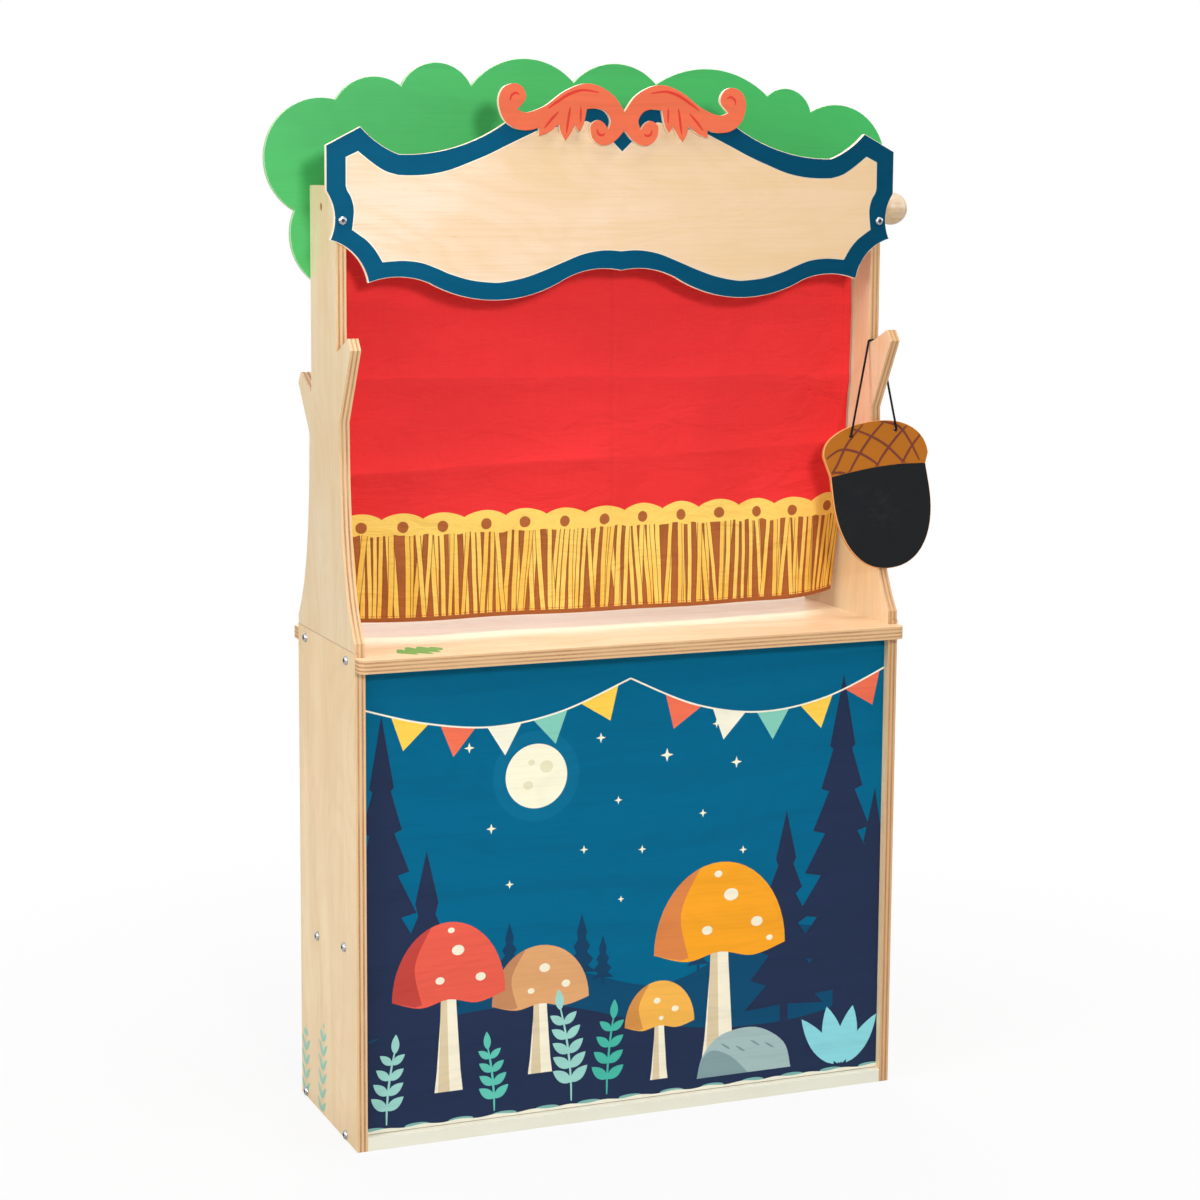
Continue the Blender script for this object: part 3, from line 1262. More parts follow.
def cap_lines(cap):
    """Criss-cross lines of the cap in millimetres; what lies past its edge is pulled back to it."""
    centre = cap.mean(0)
    limit = (cap - centre) * 0.985 + centre
    loops = []
    for knots in (
            ((-66, 22), (-46, 30), (-24, 24), (-6, 12), (2, 3)), ((-69, 4), (-52, 4), (-38, -1), (-30, -4)),
            ((-26, 52), (-6, 42), (14, 28), (32, 8), (40, -1)), ((10, 57), (34, 48), (46, 30), (56, 4)),
            ((-12, 56), (-36, 36), (-54, 12), (-66, 0)), ((18, 57), (-4, 40), (-26, 18), (-42, -2)),
            ((48, 49), (28, 34), (8, 16), (-4, 2)), ((64, 36), (48, 22), (34, 6), (28, -1))):
        line = stroke(knots, 3.2, 0.55) * MM
        gap = np.linalg.norm(line[:, None] - limit[None], axis=2)
        loops.append(np.where(inside(line, limit)[:, None], line, limit[gap.argmin(1)]))
    return loops


def chalk_material():
    """Matt chalk paint with faint wiped traces, and satin paint where the ink is brown."""
    made, tree = new_material("chalk_and_cap_paint", Specular_IOR_Level=0.08)
    source = coordinates(tree)
    ink = added(tree, "Attribute", out="Color", attribute_name=INK)
    dust = noise(source, (22.0, 22.0, 16.0), 5.0, 0.6, 0.6)
    smear = dust.ramp(0.45, 0.75) * noise(source, (90.0, 60.0, 240.0)).ramp(0.4, 0.7)
    dark = added(tree, "SeparateColor", {"Color": ink}).ramp(0.1, 0.05)
    tone = mixed(smear * 0.012 * dark, ink, (0.5, 0.5, 0.5))
    return shaded(made, tone, dark.ramp(0.0, 1.0, 0.5, 0.85), noise(source, 2400.0), 0.2, 0.0002)


class THEATRE_OT_chalk_board(bpy.types.Operator):
    """Build the acorn-shaped chalk board"""
    bl_idname = "theatre.chalk_board"
    bl_label = "Acorn Chalk Board"

    def execute(self, context):
        c = colours()
        outline = acorn_outline()
        cap = cap_loop(outline)
        prints = [(cap, solid_ink(c.acorn_cap))]
        prints += [(line, solid_ink(c.acorn_line)) for line in cap_lines(cap)]
        holes = [ellipse((way * HOLE_SPREAD, HOLE_RISE), HOLE_RADIUS, HOLE_RADIUS, 24) for way in (-1, 1)]
        turn = (CHALK_MATRIX @ Matrix.Rotation(math.pi / 2, 3, "X")).to_euler()
        edge = edge_material("ply_edge_chalk", CHALK_PLACE, turn, CHALK_PLY, 3, paint(226, 160, 90))
        back = veneer_material("birch_back_chalk", CHALK_PLACE, UPRIGHT_FRONT, 22.0)
        piece = flat_board("acorn_chalk_board", outline, holes, prints, solid_ink(c.chalk), CHALK_PLY,
                           sizes().trim_edge, chalk_layout, [chalk_material(), edge, back], (1, 0))
        settle(piece, "acorn", "chalk_board", "acorn_board")
        return {"FINISHED"}


def cord_route():
    """Knots of the cord's path: from behind one hole up the board's face, over the branch, and down again.

    Strands are straight between the hole and the branch; the cord bends round the panel's two edges
    on quarter circles of 2.1 mm, and lies 0.5 mm in from each on top. Knots are rounded to a micrometre.
    """
    edge_y, edge_height, wrap, gap, ply = -0.0501, 0.884436, 0.0021, 0.0018, CHALK_PLY
    bend = wrap * math.sqrt(0.5)
    legs = []
    for side, edge_x in ((-1, INNER_HALF_WIDTH), (1, HALF_WIDTH)):
        local = np.array([[0, 0.0033, 0], [0, 0, 0], [0, -ply, 0], [0, -ply - gap, 0.0026]])
        board = (local + [side * HOLE_SPREAD, 0, HOLE_RISE]) @ CHALK_TURN.T + CHALK_PLACE
        head = np.array([edge_x + side * wrap, edge_y, edge_height - gap])
        strand = board[-1] + np.array([[0.15], [0.5], [0.85]]) * (head - board[-1])
        over = [head, (edge_x + side * bend, edge_y, edge_height + bend),
                (edge_x - side * 0.0005, edge_y, edge_height + wrap)]
        legs.append(np.vstack([board, strand, over]))
    return np.round(np.vstack([legs[0], legs[1][::-1]]), 6)


def cord_line(knots, steps=12):
    """Centripetal cubic through the knots: spans' slopes are weighed by the roots of the distances."""
    ends = np.vstack([2 * knots[0] - knots[1], knots, 2 * knots[-1] - knots[-2]])
    gaps = np.linalg.norm(np.diff(ends, axis=0), axis=1) ** 0.5
    x0, x1, x2, x3 = ends[:-3], ends[1:-2], ends[2:-1], ends[3:]
    d0, d1, d2 = gaps[:-2, None], gaps[1:-1, None], gaps[2:, None]
    t1 = ((x1 - x0) / d0 - (x2 - x0) / (d0 + d1) + (x2 - x1) / d1) * d1
    t2 = ((x2 - x1) / d1 - (x3 - x1) / (d1 + d2) + (x3 - x2) / d2) * d1
    w = (np.arange(steps) / steps)[None, :, None]
    a, b = (-3 * x1 + 3 * x2 - 2 * t1 - t2)[:, None], (2 * x1 - 2 * x2 + t1 + t2)[:, None]
    line = x1[:, None] + t1[:, None] * w + a * w**2 + b * w**3
    return np.vstack([line.reshape(-1, 3), knots[-1:]])


def braid_material():
    """Braided cord from UV in turns and metres: two sets of strands cross each other on the slant."""
    c = colours()
    made, tree = new_material("braided_cord", 0.85, Sheen_Weight=0.03, Specular_IOR_Level=0.12)
    uv = coordinates(tree, "UV")
    turn, along, _ = split(uv)
    turns, slant = turn * 6.0, along * 330.0
    one, two = [(phase * (2 * math.pi)).maths("SINE") for phase in (turns + slant, turns - slant)]
    crest = one.maths("MAXIMUM", two)
    fuzz = noise(uv, (30.0, 3000.0, 1.0))
    tone = mixed(crest.ramp(-0.4, 0.9, 0.0, 0.8), dimmed(c.cord, 0.45), dimmed(c.cord, 1.7))
    return shaded(made, mixed(fuzz * 0.3, tone, c.cord), None, crest + fuzz * 0.4, 0.5, 0.0003)


def lay_uv(piece, across, along):
    """Writes the UV map of a piece from two numbers for each face corner."""
    layer = piece.data.uv_layers.new(name="UVMap")
    layer.data.foreach_set("uv", np.stack([across, along], -1).ravel().astype(np.float32))


def tube_piece(name, line, radius, sides, material, closed=False):
    """Circles carried along a path, each across its tangent and started from one fixed direction."""
    ahead = np.roll(line, -1, 0) - np.roll(line, 1, 0) if closed else np.gradient(line, axis=0)
    ahead /= np.linalg.norm(ahead, axis=1, keepdims=True)
    reference = np.array([0.577, 0.577, 0.577])
    side = reference - (ahead @ reference)[:, None] * ahead
    side /= np.linalg.norm(side, axis=1, keepdims=True)
    angle = np.linspace(0, 2 * np.pi, sides, endpoint=False)[None, :, None]
    ring = np.cos(angle) * side[:, None] + np.sin(angle) * np.cross(ahead, side)[:, None]
    points = (line[:, None] + radius * ring).reshape(-1, 3)
    rows = len(line)
    spans = rows if closed else rows - 1
    row, column = [part.ravel()[:, None] for part in np.mgrid[:spans, :sides]]
    row, column = row + [0, 0, 1, 1], column + [0, 1, 1, 0]
    quads = (row % rows) * sides + column % sides
    steps = np.linalg.norm(np.roll(line, -1, 0) - line, axis=1)
    distance = np.concatenate([[0.0], np.cumsum(steps)])
    caps = [] if closed else [np.arange(sides)[::-1], np.arange(sides) + (rows - 1) * sides]
    piece = finished(name, points, [*quads, *caps], [material], smooth=60.0)
    pad = np.zeros(sides * len(caps))
    turns, along = (column / sides).ravel(), distance[row].ravel()
    lay_uv(piece, np.concatenate([turns, pad]), np.concatenate([along, pad]))
    return piece


class THEATRE_OT_cord(bpy.types.Operator):
    """Build the braided cord that hangs the chalk board, with a knot behind each hole"""
    bl_idname = "theatre.cord"
    bl_label = "Hanging Cord"

    def execute(self, context):
        material = braid_material()
        route = cord_route()
        line = cord_line(route)
        diameter = sizes().cord_diameter
        piece = tube_piece("hanging_cord", line, diameter / 2, 16, material)
        turn = np.linspace(0, 2 * np.pi, 72, endpoint=False)
        out = 2 + np.cos(3 * turn)
        trefoil = np.stack([out * np.cos(2 * turn), np.sin(3 * turn) * 1.15, out * np.sin(2 * turn)], -1)
        strand = 0.00095
        for name, centre in (("left", route[0]), ("right", route[-1])):
            loop = trefoil / 3.0 * (sizes().knot_reach - strand) @ CHALK_TURN.T + centre
            knot = tube_piece(f"cord_knot_{name}", loop, strand, 10, material, closed=True)
            settle(knot, "acorn", "cord")
        settle(piece, "acorn", "cord", "acorn_cord")
        return {"FINISHED"}


# rod and knob

def turned_wood_material():
    """Turned hardwood: growth rings seen along the axis, fine pores and a waxed sheen."""
    wood = colours().turned_wood
    made, tree = new_material("turned_wood", Specular_IOR_Level=0.45)
    source = coordinates(tree)
    grain = noise(source, (14.0, 190.0, 190.0), 4.0, 0.6, 0.4)
    pores = noise(source, (300.0, 2400.0, 2400.0), 1.0)
    tone = mixed(grain.ramp(0.35, 0.7), wood, tuple(np.multiply(wood, (0.82, 0.72, 0.56))))
    tone = mixed(pores.ramp(0.66, 0.78, 0.0, 0.35), tone, (0.35, 0.22, 0.1))
    return shaded(made, tone, grain.ramp(0.3, 0.8, 0.34, 0.48), grain - pores, 0.08, 0.0003)


class THEATRE_OT_roller(bpy.types.Operator):
    """Build the curtain rod with its end peg, and the ball knob on its right end"""
    bl_idname = "theatre.roller"
    bl_label = "Rod and Knob"

    def execute(self, context):
        wood, steps = [turned_wood_material()], sizes().turned_steps
        rod, peg, spigot, ball, fillet = ROD_RADIUS, 0.004, 0.005, 0.0193, 0.0006
        left = -INNER_HALF_WIDTH + 0.0005
        tip = left - 0.008
        flat = math.sqrt(ball ** 2 - rod ** 2)
        knob_x = HALF_WIDTH + 0.042
        shoulder = knob_x - flat
        end = shoulder + 0.022
        profile = [
            (0, tip), (peg - fillet, tip), (peg, tip + fillet), (peg, left), (rod - fillet, left),
            (rod, left + fillet), (rod, shoulder - fillet), (rod - fillet, shoulder), (spigot, shoulder),
            (spigot, end - 0.0005), (spigot - fillet, end), (0, end)]
        piece = turned_piece("curtain_rod", profile, (0, *ROD_CENTRE[1:]), (1, 0, 0), steps, wood)
        settle(piece, "roller", "round_rod", "curtain_roller")
        bore, bore_end = spigot + 0.0003, -flat + 0.0225
        angle = np.linspace(math.atan2(-flat, rod), math.pi / 2, 30)
        dome = np.stack([ball * np.cos(angle), ball * np.sin(angle)], -1)
        dome[-1, 0] = 0
        knob = np.vstack([[(0, bore_end), (bore, bore_end), (bore, -flat), (rod - fillet, -flat)], dome])
        piece = turned_piece("ball_knob", knob, (knob_x, *ROD_CENTRE[1:]), (1, 0, 0), steps, wood)
        settle(piece, "roller", "round_rod", "curtain_knob")
        return {"FINISHED"}


# curtain

CLOTH_HALF = INNER_HALF_WIDTH - 0.003
HEM_HEIGHT = COUNTER_TOP + 0.018
WRAP_RADIUS = ROD_RADIUS + 0.0012
WRAP = math.pi * WRAP_RADIUS
DROP = ROD_CENTRE[2] - HEM_HEIGHT
CLOTH_LENGTH = WRAP + DROP
HEM_FOLD = 0.0055
SCALLOP = 0.0488
# height and slope of each crease, and its share of the depth at the left and at the right
CREASES = ((0.926, -0.006, 0.8, 0.35), (0.840, -0.004, 1.0, 1.0), (0.752, 0.010, 1.2, 0.5))


def smooth_share(value, start, end):
    share = np.clip((value - start) / (end - start), 0, 1)
    return share * share * (3 - 2 * share)


def cloth_middle(across, down):
    """Middle surface of the cloth from its share across, -1 to 1, and its length down from the glued edge.

    It wraps half round the rod, then hangs straight: the ends bow back by the square of the distance
    past two thirds of the half-width and the cube of the drop; slow sines ripple it and narrow bells
    crease it.
    """
    angle = math.pi * (1 - np.clip(down / WRAP, 0, 1))
    share = np.clip((down - WRAP) / DROP, 0, 1)
    beyond = np.maximum(0, np.abs(across) - 0.66) / 0.34
    bow = 0.030 * beyond ** 2 * share ** 3
    lift = 0.005 * np.maximum(0, (across - 0.72) / 0.28) ** 2 * share ** 2
    ripple = 0.0022 * share * np.sin(4 * np.pi * across) * (1 - np.clip(beyond, 0, 1))
    height = ROD_CENTRE[2] - share * DROP
    crease = np.zeros_like(across)
    for z, slope, left, right in CREASES:
        weight = left + (right - left) * smooth_share(across, -0.1, 0.15)
        crease -= weight * np.exp(-np.abs(height - z - slope * across) / 0.014)
    middle_fold = (across - 0.035) * CLOTH_HALF
    crease -= 0.35 * np.exp(-np.abs(middle_fold) / 0.010) * smooth_share(share, 0.1, 0.3)
    crease *= sizes().crease_depth * smooth_share(share, 0.03, 0.12)
    soft = 0.0030 * np.sin(5.3 * across + 7.0 * share) * np.sin(2.2 + 9.0 * share)
    soft *= smooth_share(share, 0.02, 0.2)
    tuck = bow * bow / (2 * CLOTH_HALF * 0.34)
    x = across * CLOTH_HALF - np.sign(across) * tuck
    y = ROD_CENTRE[1] - WRAP_RADIUS + bow + ripple + soft + crease
    on_rod = down < WRAP
    y = np.where(on_rod, ROD_CENTRE[1] - WRAP_RADIUS * np.cos(angle), y)
    z = np.where(on_rod, ROD_CENTRE[2] + WRAP_RADIUS * np.sin(angle), height + lift)
    return np.stack([x, y, z], -1)


def stitches(gap, along):
    """Row of stitches 3.2 mm apart: 1 near a line, for two thirds of each step along it."""
    return abs(gap).ramp(0.0006, 0.0003) * (along / 0.0032).maths("FRACT").ramp(0.72, 0.66)


def fringe_colour(uv):
    """Printed curtain: red cloth, and below it a scalloped yellow band with dots over drawn strands."""
    c = colours()
    brown = c.fringe_brown
    across, up, _ = split(uv)
    shifted = across + (noise_along(across, 13.0) - 0.5) * 0.016
    place = shifted / SCALLOP - 0.047
    share = place.maths("FRACT")
    arch = (share * math.pi).maths("SINE")
    height = noise_along(place.maths("FLOOR"), 7.7, 0.0)
    top = arch ** 0.75 * (height * 0.006 + 0.0045) + 0.1165
    rise = up - (height * 0.005 + 0.1055)
    radius = length_of(joined((share - 0.5) * SCALLOP, rise))
    wobble = noise(uv, (160.0, 160.0, 1.0), 1.0)
    dot = (radius + wobble * 0.0008).ramp(0.0070, 0.0066)
    band_foot = noise_along(across, 55.0) * 0.010 + 0.0935
    patch = noise(uv, (60.0, 14.0, 1.0))
    yellow = mixed(up.ramp(0.09, 0.01) * patch.ramp(0.45, 0.65), c.fringe, c.fringe_deep)
    drawn = mixed(patch.ramp(0.4, 0.7), brown, dimmed(brown, 0.8))
    for shift in (0.0, 0.006, 0.012, 0.018):
        moved = across + (shift + 0.4)
        strand, line, tint = placed("fringe_strand", Across=moved, Up=up, Seed=shift * 9000.0 + 0.3)
        drawn = mixed(line * 0.7, drawn, dimmed(brown, 0.62))
        drawn = mixed(strand, drawn, mixed(tint, yellow, c.fringe_deep))
    fringe = mixed((band_foot - up).ramp(0.0, 0.0004), mixed(dot, yellow, brown), drawn)
    fringe = mixed(up.ramp(0.0052, 0.0047), fringe, dimmed(brown, 0.9))
    fringe = mixed(stitches(up - 0.0066, across) * 0.8, fringe, paint(170, 42, 36))
    return mixed((top - up).ramp(0.0, 0.0004), c.cloth, fringe)


def fold_shade(uv):
    """Old fold lines: the cloth is paler just above each and darker just below, and fades from it."""
    across, up, _ = split(uv)
    middle_gap = across - (CLOTH_HALF + 0.011)
    total = abs(middle_gap).ramp(0.009, 0.0) * middle_gap.ramp(-0.001, 0.001, -0.7, 0.3)
    for height, slope, weight in ((0.3520, -0.018, 0.5), (0.2670, -0.012, 1.0), (0.1740, 0.030, 1.0)):
        bend = noise_along(across, 7.0, 2.0, height * 50.0)
        gap = up - ((across - CLOTH_HALF) * slope + (bend * 0.010 + height))
        side = gap.ramp(-0.0012, 0.0012, -1.0, 1.0) * abs(gap).ramp(0.034, 0.0)
        patchy = noise_along(across, 4.0, 1.0, height * 90.0).ramp(0.35, 0.6, 0.35, 1.0)
        total = total + side * (patchy * weight)
    return total


def cloth_material(name, printed):
    """Dyed plain-weave cotton with a soft sheen."""
    sheen = {"Sheen_Weight": 0.02, "Sheen_Roughness": 0.6, "Specular_IOR_Level": 0.08}
    made, tree = new_material(name, **sheen)
    uv = coordinates(tree, "UV")
    across, down, _ = split(uv)
    weave, slub = placed("plain_weave", UV=uv)
    base = fringe_colour(uv) if printed else dimmed(colours().cloth, 0.8)
    shade = fold_shade(uv) * 0.055 + 1.0
    base = added(tree, "VectorMath", {0: base, 3: shade}, operation="SCALE")
    base = mixed(slub * 0.018, base, (0.95, 0.42, 0.36))
    stitch = stitches(abs(across - CLOTH_HALF) - (CLOTH_HALF - 0.0105), down)
    tone = mixed(stitch * 0.28, base, (0.35, 0.02, 0.02))
    wrinkle = noise(uv, (11.0, 26.0, 1.0), 4.0, 0.55, 0.8)
    height = (weave - stitch * 1.5) * 0.012 + wrinkle
    return shaded(made, tone, slub.ramp(0.0, 1.0, 0.78, 0.92), height, 0.6, 0.014)


def cloth_shell(name, downs, materials):
    """Closed sheet of cloth between two distances down from its glued edge.

    The middle surface is moved half a thickness along its normal to either side, thicker at the hems
    and thinner at its cut edges.
    """
    s = sizes()
    near_edge = CLOTH_HALF - np.array([0, 0.001, 0.006, 0.0105, s.hem_width])
    inner = CLOTH_HALF - 0.016
    xs = np.concatenate([near_edge, -near_edge, np.linspace(-inner, inner, 170)])
    across, down = np.meshgrid(np.unique(np.round(xs, 6)) / CLOTH_HALF, np.unique(np.round(downs, 6)))
    centre = cloth_middle(across, down)
    normal = np.cross(np.gradient(centre, axis=0), np.gradient(centre, axis=1))
    normal /= np.linalg.norm(normal, axis=2, keepdims=True)
    edge_gap = CLOTH_HALF * (1 - np.abs(across))
    side_hem = smooth_share(-edge_gap, -s.hem_width - 0.001, -s.hem_width + 0.001)
    side_hem *= smooth_share(down, 0.03, 0.05)
    fold = CLOTH_LENGTH - HEM_FOLD
    hems = np.clip(side_hem + smooth_share(down, fold - 0.001, fold + 0.0005), 0, 1)
    cut = np.clip(np.minimum(edge_gap, CLOTH_LENGTH - down) / 0.0008, 0, 1)
    half = (s.cloth_thick + s.hem_thick * hems) / 2 * (0.55 + 0.45 * np.sqrt(cut))
    shift = normal * half[..., None]
    rows, columns = across.shape
    count = rows * columns
    number = np.arange(count).reshape(rows, columns)
    rim = np.concatenate([number[0, :-1], number[:-1, -1], number[-1, :0:-1], number[:0:-1, 0]])
    after = np.roll(rim, -1)
    band = np.stack([rim, after, after + count, rim + count], -1)
    quads = grid_quads(rows, columns)
    faces = np.vstack([quads[:, ::-1], quads + count, band])
    kinds = np.repeat([0, 1, 0], [len(quads), len(quads), len(band)])
    points = np.vstack([(centre + shift).reshape(-1, 3), (centre - shift).reshape(-1, 3)])
    piece = finished(name, points, faces, materials, kinds, smooth=55.0)
    corners = faces.ravel() % count
    lay_uv(piece, ((across + 1) * CLOTH_HALF).ravel()[corners], (CLOTH_LENGTH - down).ravel()[corners])
    return piece


class THEATRE_OT_curtain(bpy.types.Operator):
    """Build the printed cotton curtain: its half turn round the rod, and the cloth that hangs from it"""
    bl_idname = "theatre.curtain"
    bl_label = "Curtain"

    def execute(self, context):
        full = CLOTH_LENGTH
        materials = [cloth_material("printed_cotton", True), cloth_material("cotton_back", False)]
        turn = cloth_shell("curtain_turn", np.linspace(0, WRAP, 14), materials)
        foot = full - np.array([0.0075, HEM_FOLD + 0.0006, HEM_FOLD, 0.003, 0.0008, 0.0])
        downs = np.concatenate([np.linspace(WRAP, full - 0.012, 150), foot])
        piece = cloth_shell("curtain_cloth", downs, materials)
        settle(turn, "stand", "curtain_cloth")
        settle(piece, "stand", "curtain_cloth", "curtain")
        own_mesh(piece)
        return {"FINISHED"}


# bolts, nuts and inserts

# radius and length of a bolt's shank, and radius and height of its head
BOARD_BOLT = (0.0025, 0.024, 0.00475, 0.00275)
PANEL_BOLT = (0.003, 0.050, 0.00525, 0.0033)


def zinc_material(name, share=1.0):
    """Zinc-plated steel: a bluish metal with fine turning lines and dull patches; share darkens it."""
    zinc = dimmed(colours().zinc, share)
    made, tree = new_material(name, Metallic=1.0)
    source = coordinates(tree)
    dull = noise(source, 240.0, 3.0, 0.6)
    tone = mixed(dull.ramp(0.35, 0.7), zinc, dimmed(zinc, 0.8))
    lines = noise(source, (900.0, 900.0, 5200.0), 1.0)
    return shaded(made, tone, dull.ramp(0.3, 0.75, 0.2, 0.42), lines, 0.08, 0.0001)


def button_bolt(name, seat, axis, radius, long, head_radius, head_height, materials):
    """Button-head bolt: a turned profile whose inner rings swell into a hexagon for the darker socket."""
    steps = 48
    socket, depth = 0.0023 * head_radius / 0.00525, 0.002
    dome = np.linspace(0.0, np.pi / 2, 9)
    crown = np.stack([socket * 1.18 + (head_radius - socket * 1.18) * np.cos(dome),
                      head_height * (0.3 + 0.7 * np.sin(dome))], -1)
    shank = [(0, -long), (radius * 0.7, -long), (radius, -long + radius / 3), (radius, 0),
             (head_radius * 0.97, 0), (head_radius, head_height * 0.04)]
    well = [(socket * 1.03, head_height), (socket * 0.97, head_height - 0.00012),
            (socket * 0.97, head_height - depth), (0, head_height - depth)]
    profile = np.vstack([shank, crown, well])
    angle = np.linspace(0, 2 * np.pi, steps, endpoint=False)
    swell = np.ones((len(profile), steps))
    swell[-4:-1] = math.cos(math.pi / 6) / np.cos((angle % (math.pi / 3)) - math.pi / 6)
    piece = turned_piece(name, profile, seat, axis, steps, materials, 40.0, swell)
    away = face_vectors(piece.data, "center") - np.asarray(seat)
    rise = away @ np.asarray(axis, float)
    reach = np.linalg.norm(away - rise[:, None] * np.asarray(axis, float), axis=1)
    set_kinds(piece.data, (reach < socket) & (rise > 0))
    return piece


class THEATRE_OT_fasteners(bpy.types.Operator):
    """Build the button-head bolts, and finish the barrel nuts and inserts in zinc"""
    bl_idname = "theatre.fasteners"
    bl_label = "Bolts and Nuts"

    def execute(self, context):
        finishes = [zinc_material("zinc_plate"), zinc_material("zinc_socket", 0.16)]
        sign_face, leaf_face = low("sign_board")[1], high("leaf_board")[1]
        for name in sorted(name for name in CAD_NODES if name.startswith("bolt_")):
            x, y, z = middle(name)
            if name.startswith(("bolt_sign", "bolt_leaf")):
                in_sign = "sign" in name
                seat, axis = (x, sign_face if in_sign else leaf_face, z), (0, -1 if in_sign else 1, 0)
                measures = BOARD_BOLT
            else:
                way = -1 if "_left_" in name else 1
                seat, axis = (way * HALF_WIDTH, y, z), (way, 0, 0)
                measures = PANEL_BOLT
            piece = button_bolt(name + "_turned", seat, axis, *measures, finishes)
            settle(piece, "stand", "steel", name)
        for name, carried in CAD_NODES.items():
            if name.startswith(("nut_", "insert_")):
                carried.data.materials.clear()
                carried.data.materials.append(finishes[0])
        return {"FINISHED"}


# stage, light and camera

LAMP_DISTANCE = 3.2
LIT_POINT = Vector((0.0, 0.0, 0.65))
# name, azimuth and elevation in degrees, size in metres and power in watts
LAMPS = (
    ("key", -8.0, 19.5, 0.42, 43.5), ("left_fill", -75.0, 20.0, 1.8, 54.0), ("top", 0.0, 78.0, 1.6, 56.0),
    ("right_fill", 84.0, 24.0, 1.8, 26.0), ("back_fill", 165.0, 35.0, 2.0, 46.0),
)


def direction(azimuth, elevation):
    """Unit vector away from the theatre: azimuth from the front towards +X, elevation upwards."""
    return Vector((math.sin(azimuth) * math.cos(elevation), -math.cos(azimuth) * math.cos(elevation),
                   math.sin(elevation)))


def floor_material():
    """Pale floor: it takes the shadow near the object and runs into the white backdrop."""
    made = bpy.data.materials.new("pale_floor")
    made.use_nodes = True
    tree = made.node_tree
    tree.nodes.clear()
    source = coordinates(tree)
    tone = mixed(noise(source, 90.0, 3.0), (0.58, 0.58, 0.58), (0.62, 0.62, 0.62))
    matt = added(tree, "BsdfDiffuse", {"Color": tone})
    glow = added(tree, "Emission", {"Color": (1.0, 1.0, 1.0), "Strength": 1.0})
    seen = added(tree, "LightPath", out="Is Camera Ray")
    share = length_of(source).ramp(0.45, 1.4, 0.87, 1.0) * seen
    blend = added(tree, "MixShader", {0: share, 1: matt, 2: glow})
    fill(tree.nodes.new("ShaderNodeOutputMaterial").inputs["Surface"], blend)
    return made


def light_world(scene):
    """White surroundings, full to the eye and in reflections and softer as light."""
    world = bpy.data.worlds.new("studio")
    world.use_nodes = True
    scene.world = world
    rays = ("Is Glossy Ray", "Is Transmission Ray", "Is Camera Ray")
    glossy, passing, camera = added(world.node_tree, "LightPath", None, rays)
    seen = camera.maths("MAXIMUM", glossy.maths("MAXIMUM", passing))
    shade = world.node_tree.nodes["Background"]
    fill(shade.inputs["Color"], (1.0, 1.0, 1.0))
    fill(shade.inputs["Strength"], seen * 0.67 + 0.33)


def hang_lamp(name, azimuth, elevation, size, power):
    data = bpy.data.lights.new(name, "AREA")
    data.shape, data.size, data.energy = "DISK", size, power
    lamp = linked(name, data)
    away = direction(math.radians(azimuth), math.radians(elevation))
    lamp.location = LIT_POINT + away * LAMP_DISTANCE
    lamp.rotation_mode = "QUATERNION"
    lamp.rotation_quaternion = away.to_track_quat("Z", "Y")


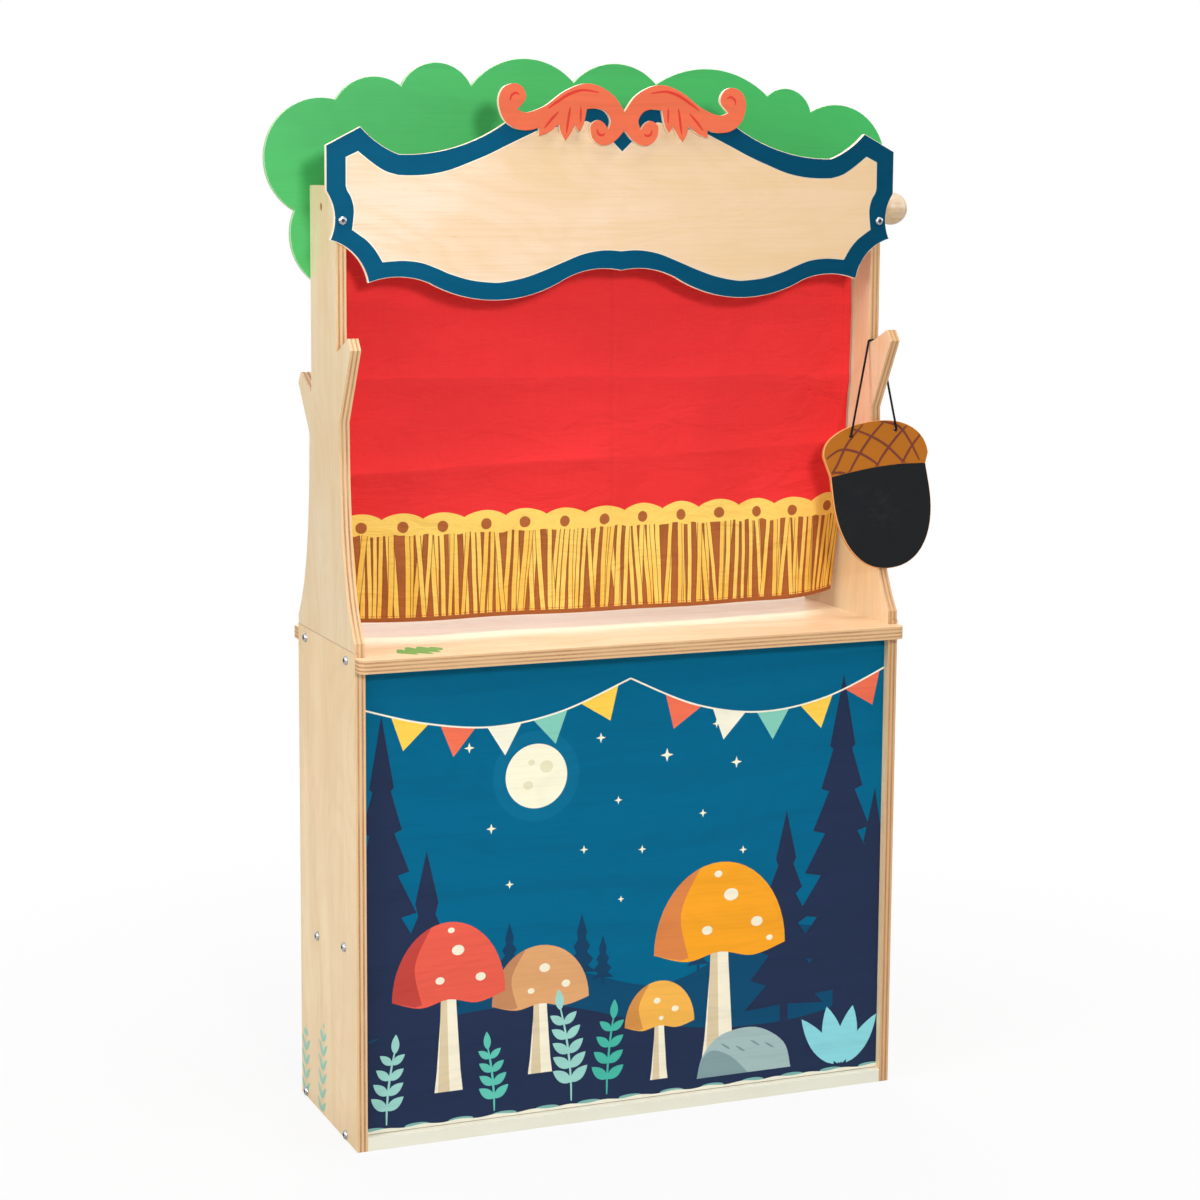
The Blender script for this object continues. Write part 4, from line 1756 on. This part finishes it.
class THEATRE_OT_stage(bpy.types.Operator):
    """Lay a pale floor, light the theatre softly and set the camera at the photograph's angle"""
    bl_idname = "theatre.stage"
    bl_label = "Stage and Camera"

    def execute(self, context):
        scene = context.scene
        scene.view_settings.view_transform = "Standard"
        rows = np.linspace(-30.0, 30.0, 9)
        grid = np.stack(np.meshgrid(rows, rows, [0.0]), -1).reshape(-1, 3)
        finished("floor", grid, grid_quads(9, 9), [floor_material()])
        light_world(scene)
        for lamp in LAMPS:
            hang_lamp(*lamp)
        camera = linked("camera", bpy.data.cameras.new("camera"))
        roll = math.radians(0.40)
        back = direction(math.radians(-22.60), math.radians(7.75))
        right = (-back).cross(Vector((0, 0, 1))).normalized()
        up = right.cross(-back)
        rolled_right = right * math.cos(roll) + up * math.sin(roll)
        rolled_up = up * math.cos(roll) - right * math.sin(roll)
        facing = Matrix((rolled_right, rolled_up, back)).transposed().to_4x4()
        camera.matrix_world = Matrix.Translation((-1.1762, -2.8468, 1.0704)) @ facing
        camera.data.sensor_width = 36.0
        camera.data.lens = 80.304
        camera.data.shift_x, camera.data.shift_y = -0.00658, -0.0457
        scene.camera = camera
        return {"FINISHED"}


# panel and main

STEPS = (
    THEATRE_OT_stage, THEATRE_OT_cord, THEATRE_OT_panels, THEATRE_OT_picture, THEATRE_OT_sign,
    THEATRE_OT_leaf_board, THEATRE_OT_chalk_board, THEATRE_OT_roller, THEATRE_OT_curtain,
    THEATRE_OT_fasteners,
)


class THEATRE_PT_sidebar(bpy.types.Panel):
    """Buttons that build the theatre, and its colours and sizes"""
    bl_label = "Plywood Play Theatre"
    bl_idname = "THEATRE_PT_sidebar"
    bl_space_type = "VIEW_3D"
    bl_region_type = "UI"
    bl_category = "Theatre"

    def draw(self, context):
        for step in STEPS:
            self.layout.operator(step.bl_idname)
        for group in (context.scene.theatre_sizes, context.scene.theatre_colours):
            box = self.layout.box()
            for name in group.bl_rna.properties.keys():
                if name not in ("rna_type", "name"):
                    box.prop(group, name)


CLASSES = (TheatreColours, TheatreSizes, *STEPS, THEATRE_PT_sidebar)


def register():
    for made in CLASSES:
        bpy.utils.register_class(made)
    bpy.types.Scene.theatre_colours = PointerProperty(type=TheatreColours)
    bpy.types.Scene.theatre_sizes = PointerProperty(type=TheatreSizes)


def unregister():
    del bpy.types.Scene.theatre_sizes
    del bpy.types.Scene.theatre_colours
    for made in reversed(CLASSES):
        bpy.utils.unregister_class(made)


def main():
    register()
    for effect in SHARED_EFFECTS:
        grouped(*effect)
    for step in STEPS:
        group, call = step.bl_idname.split(".")
        getattr(getattr(bpy.ops, group), call)()


if __name__ == "__main__":
    main()
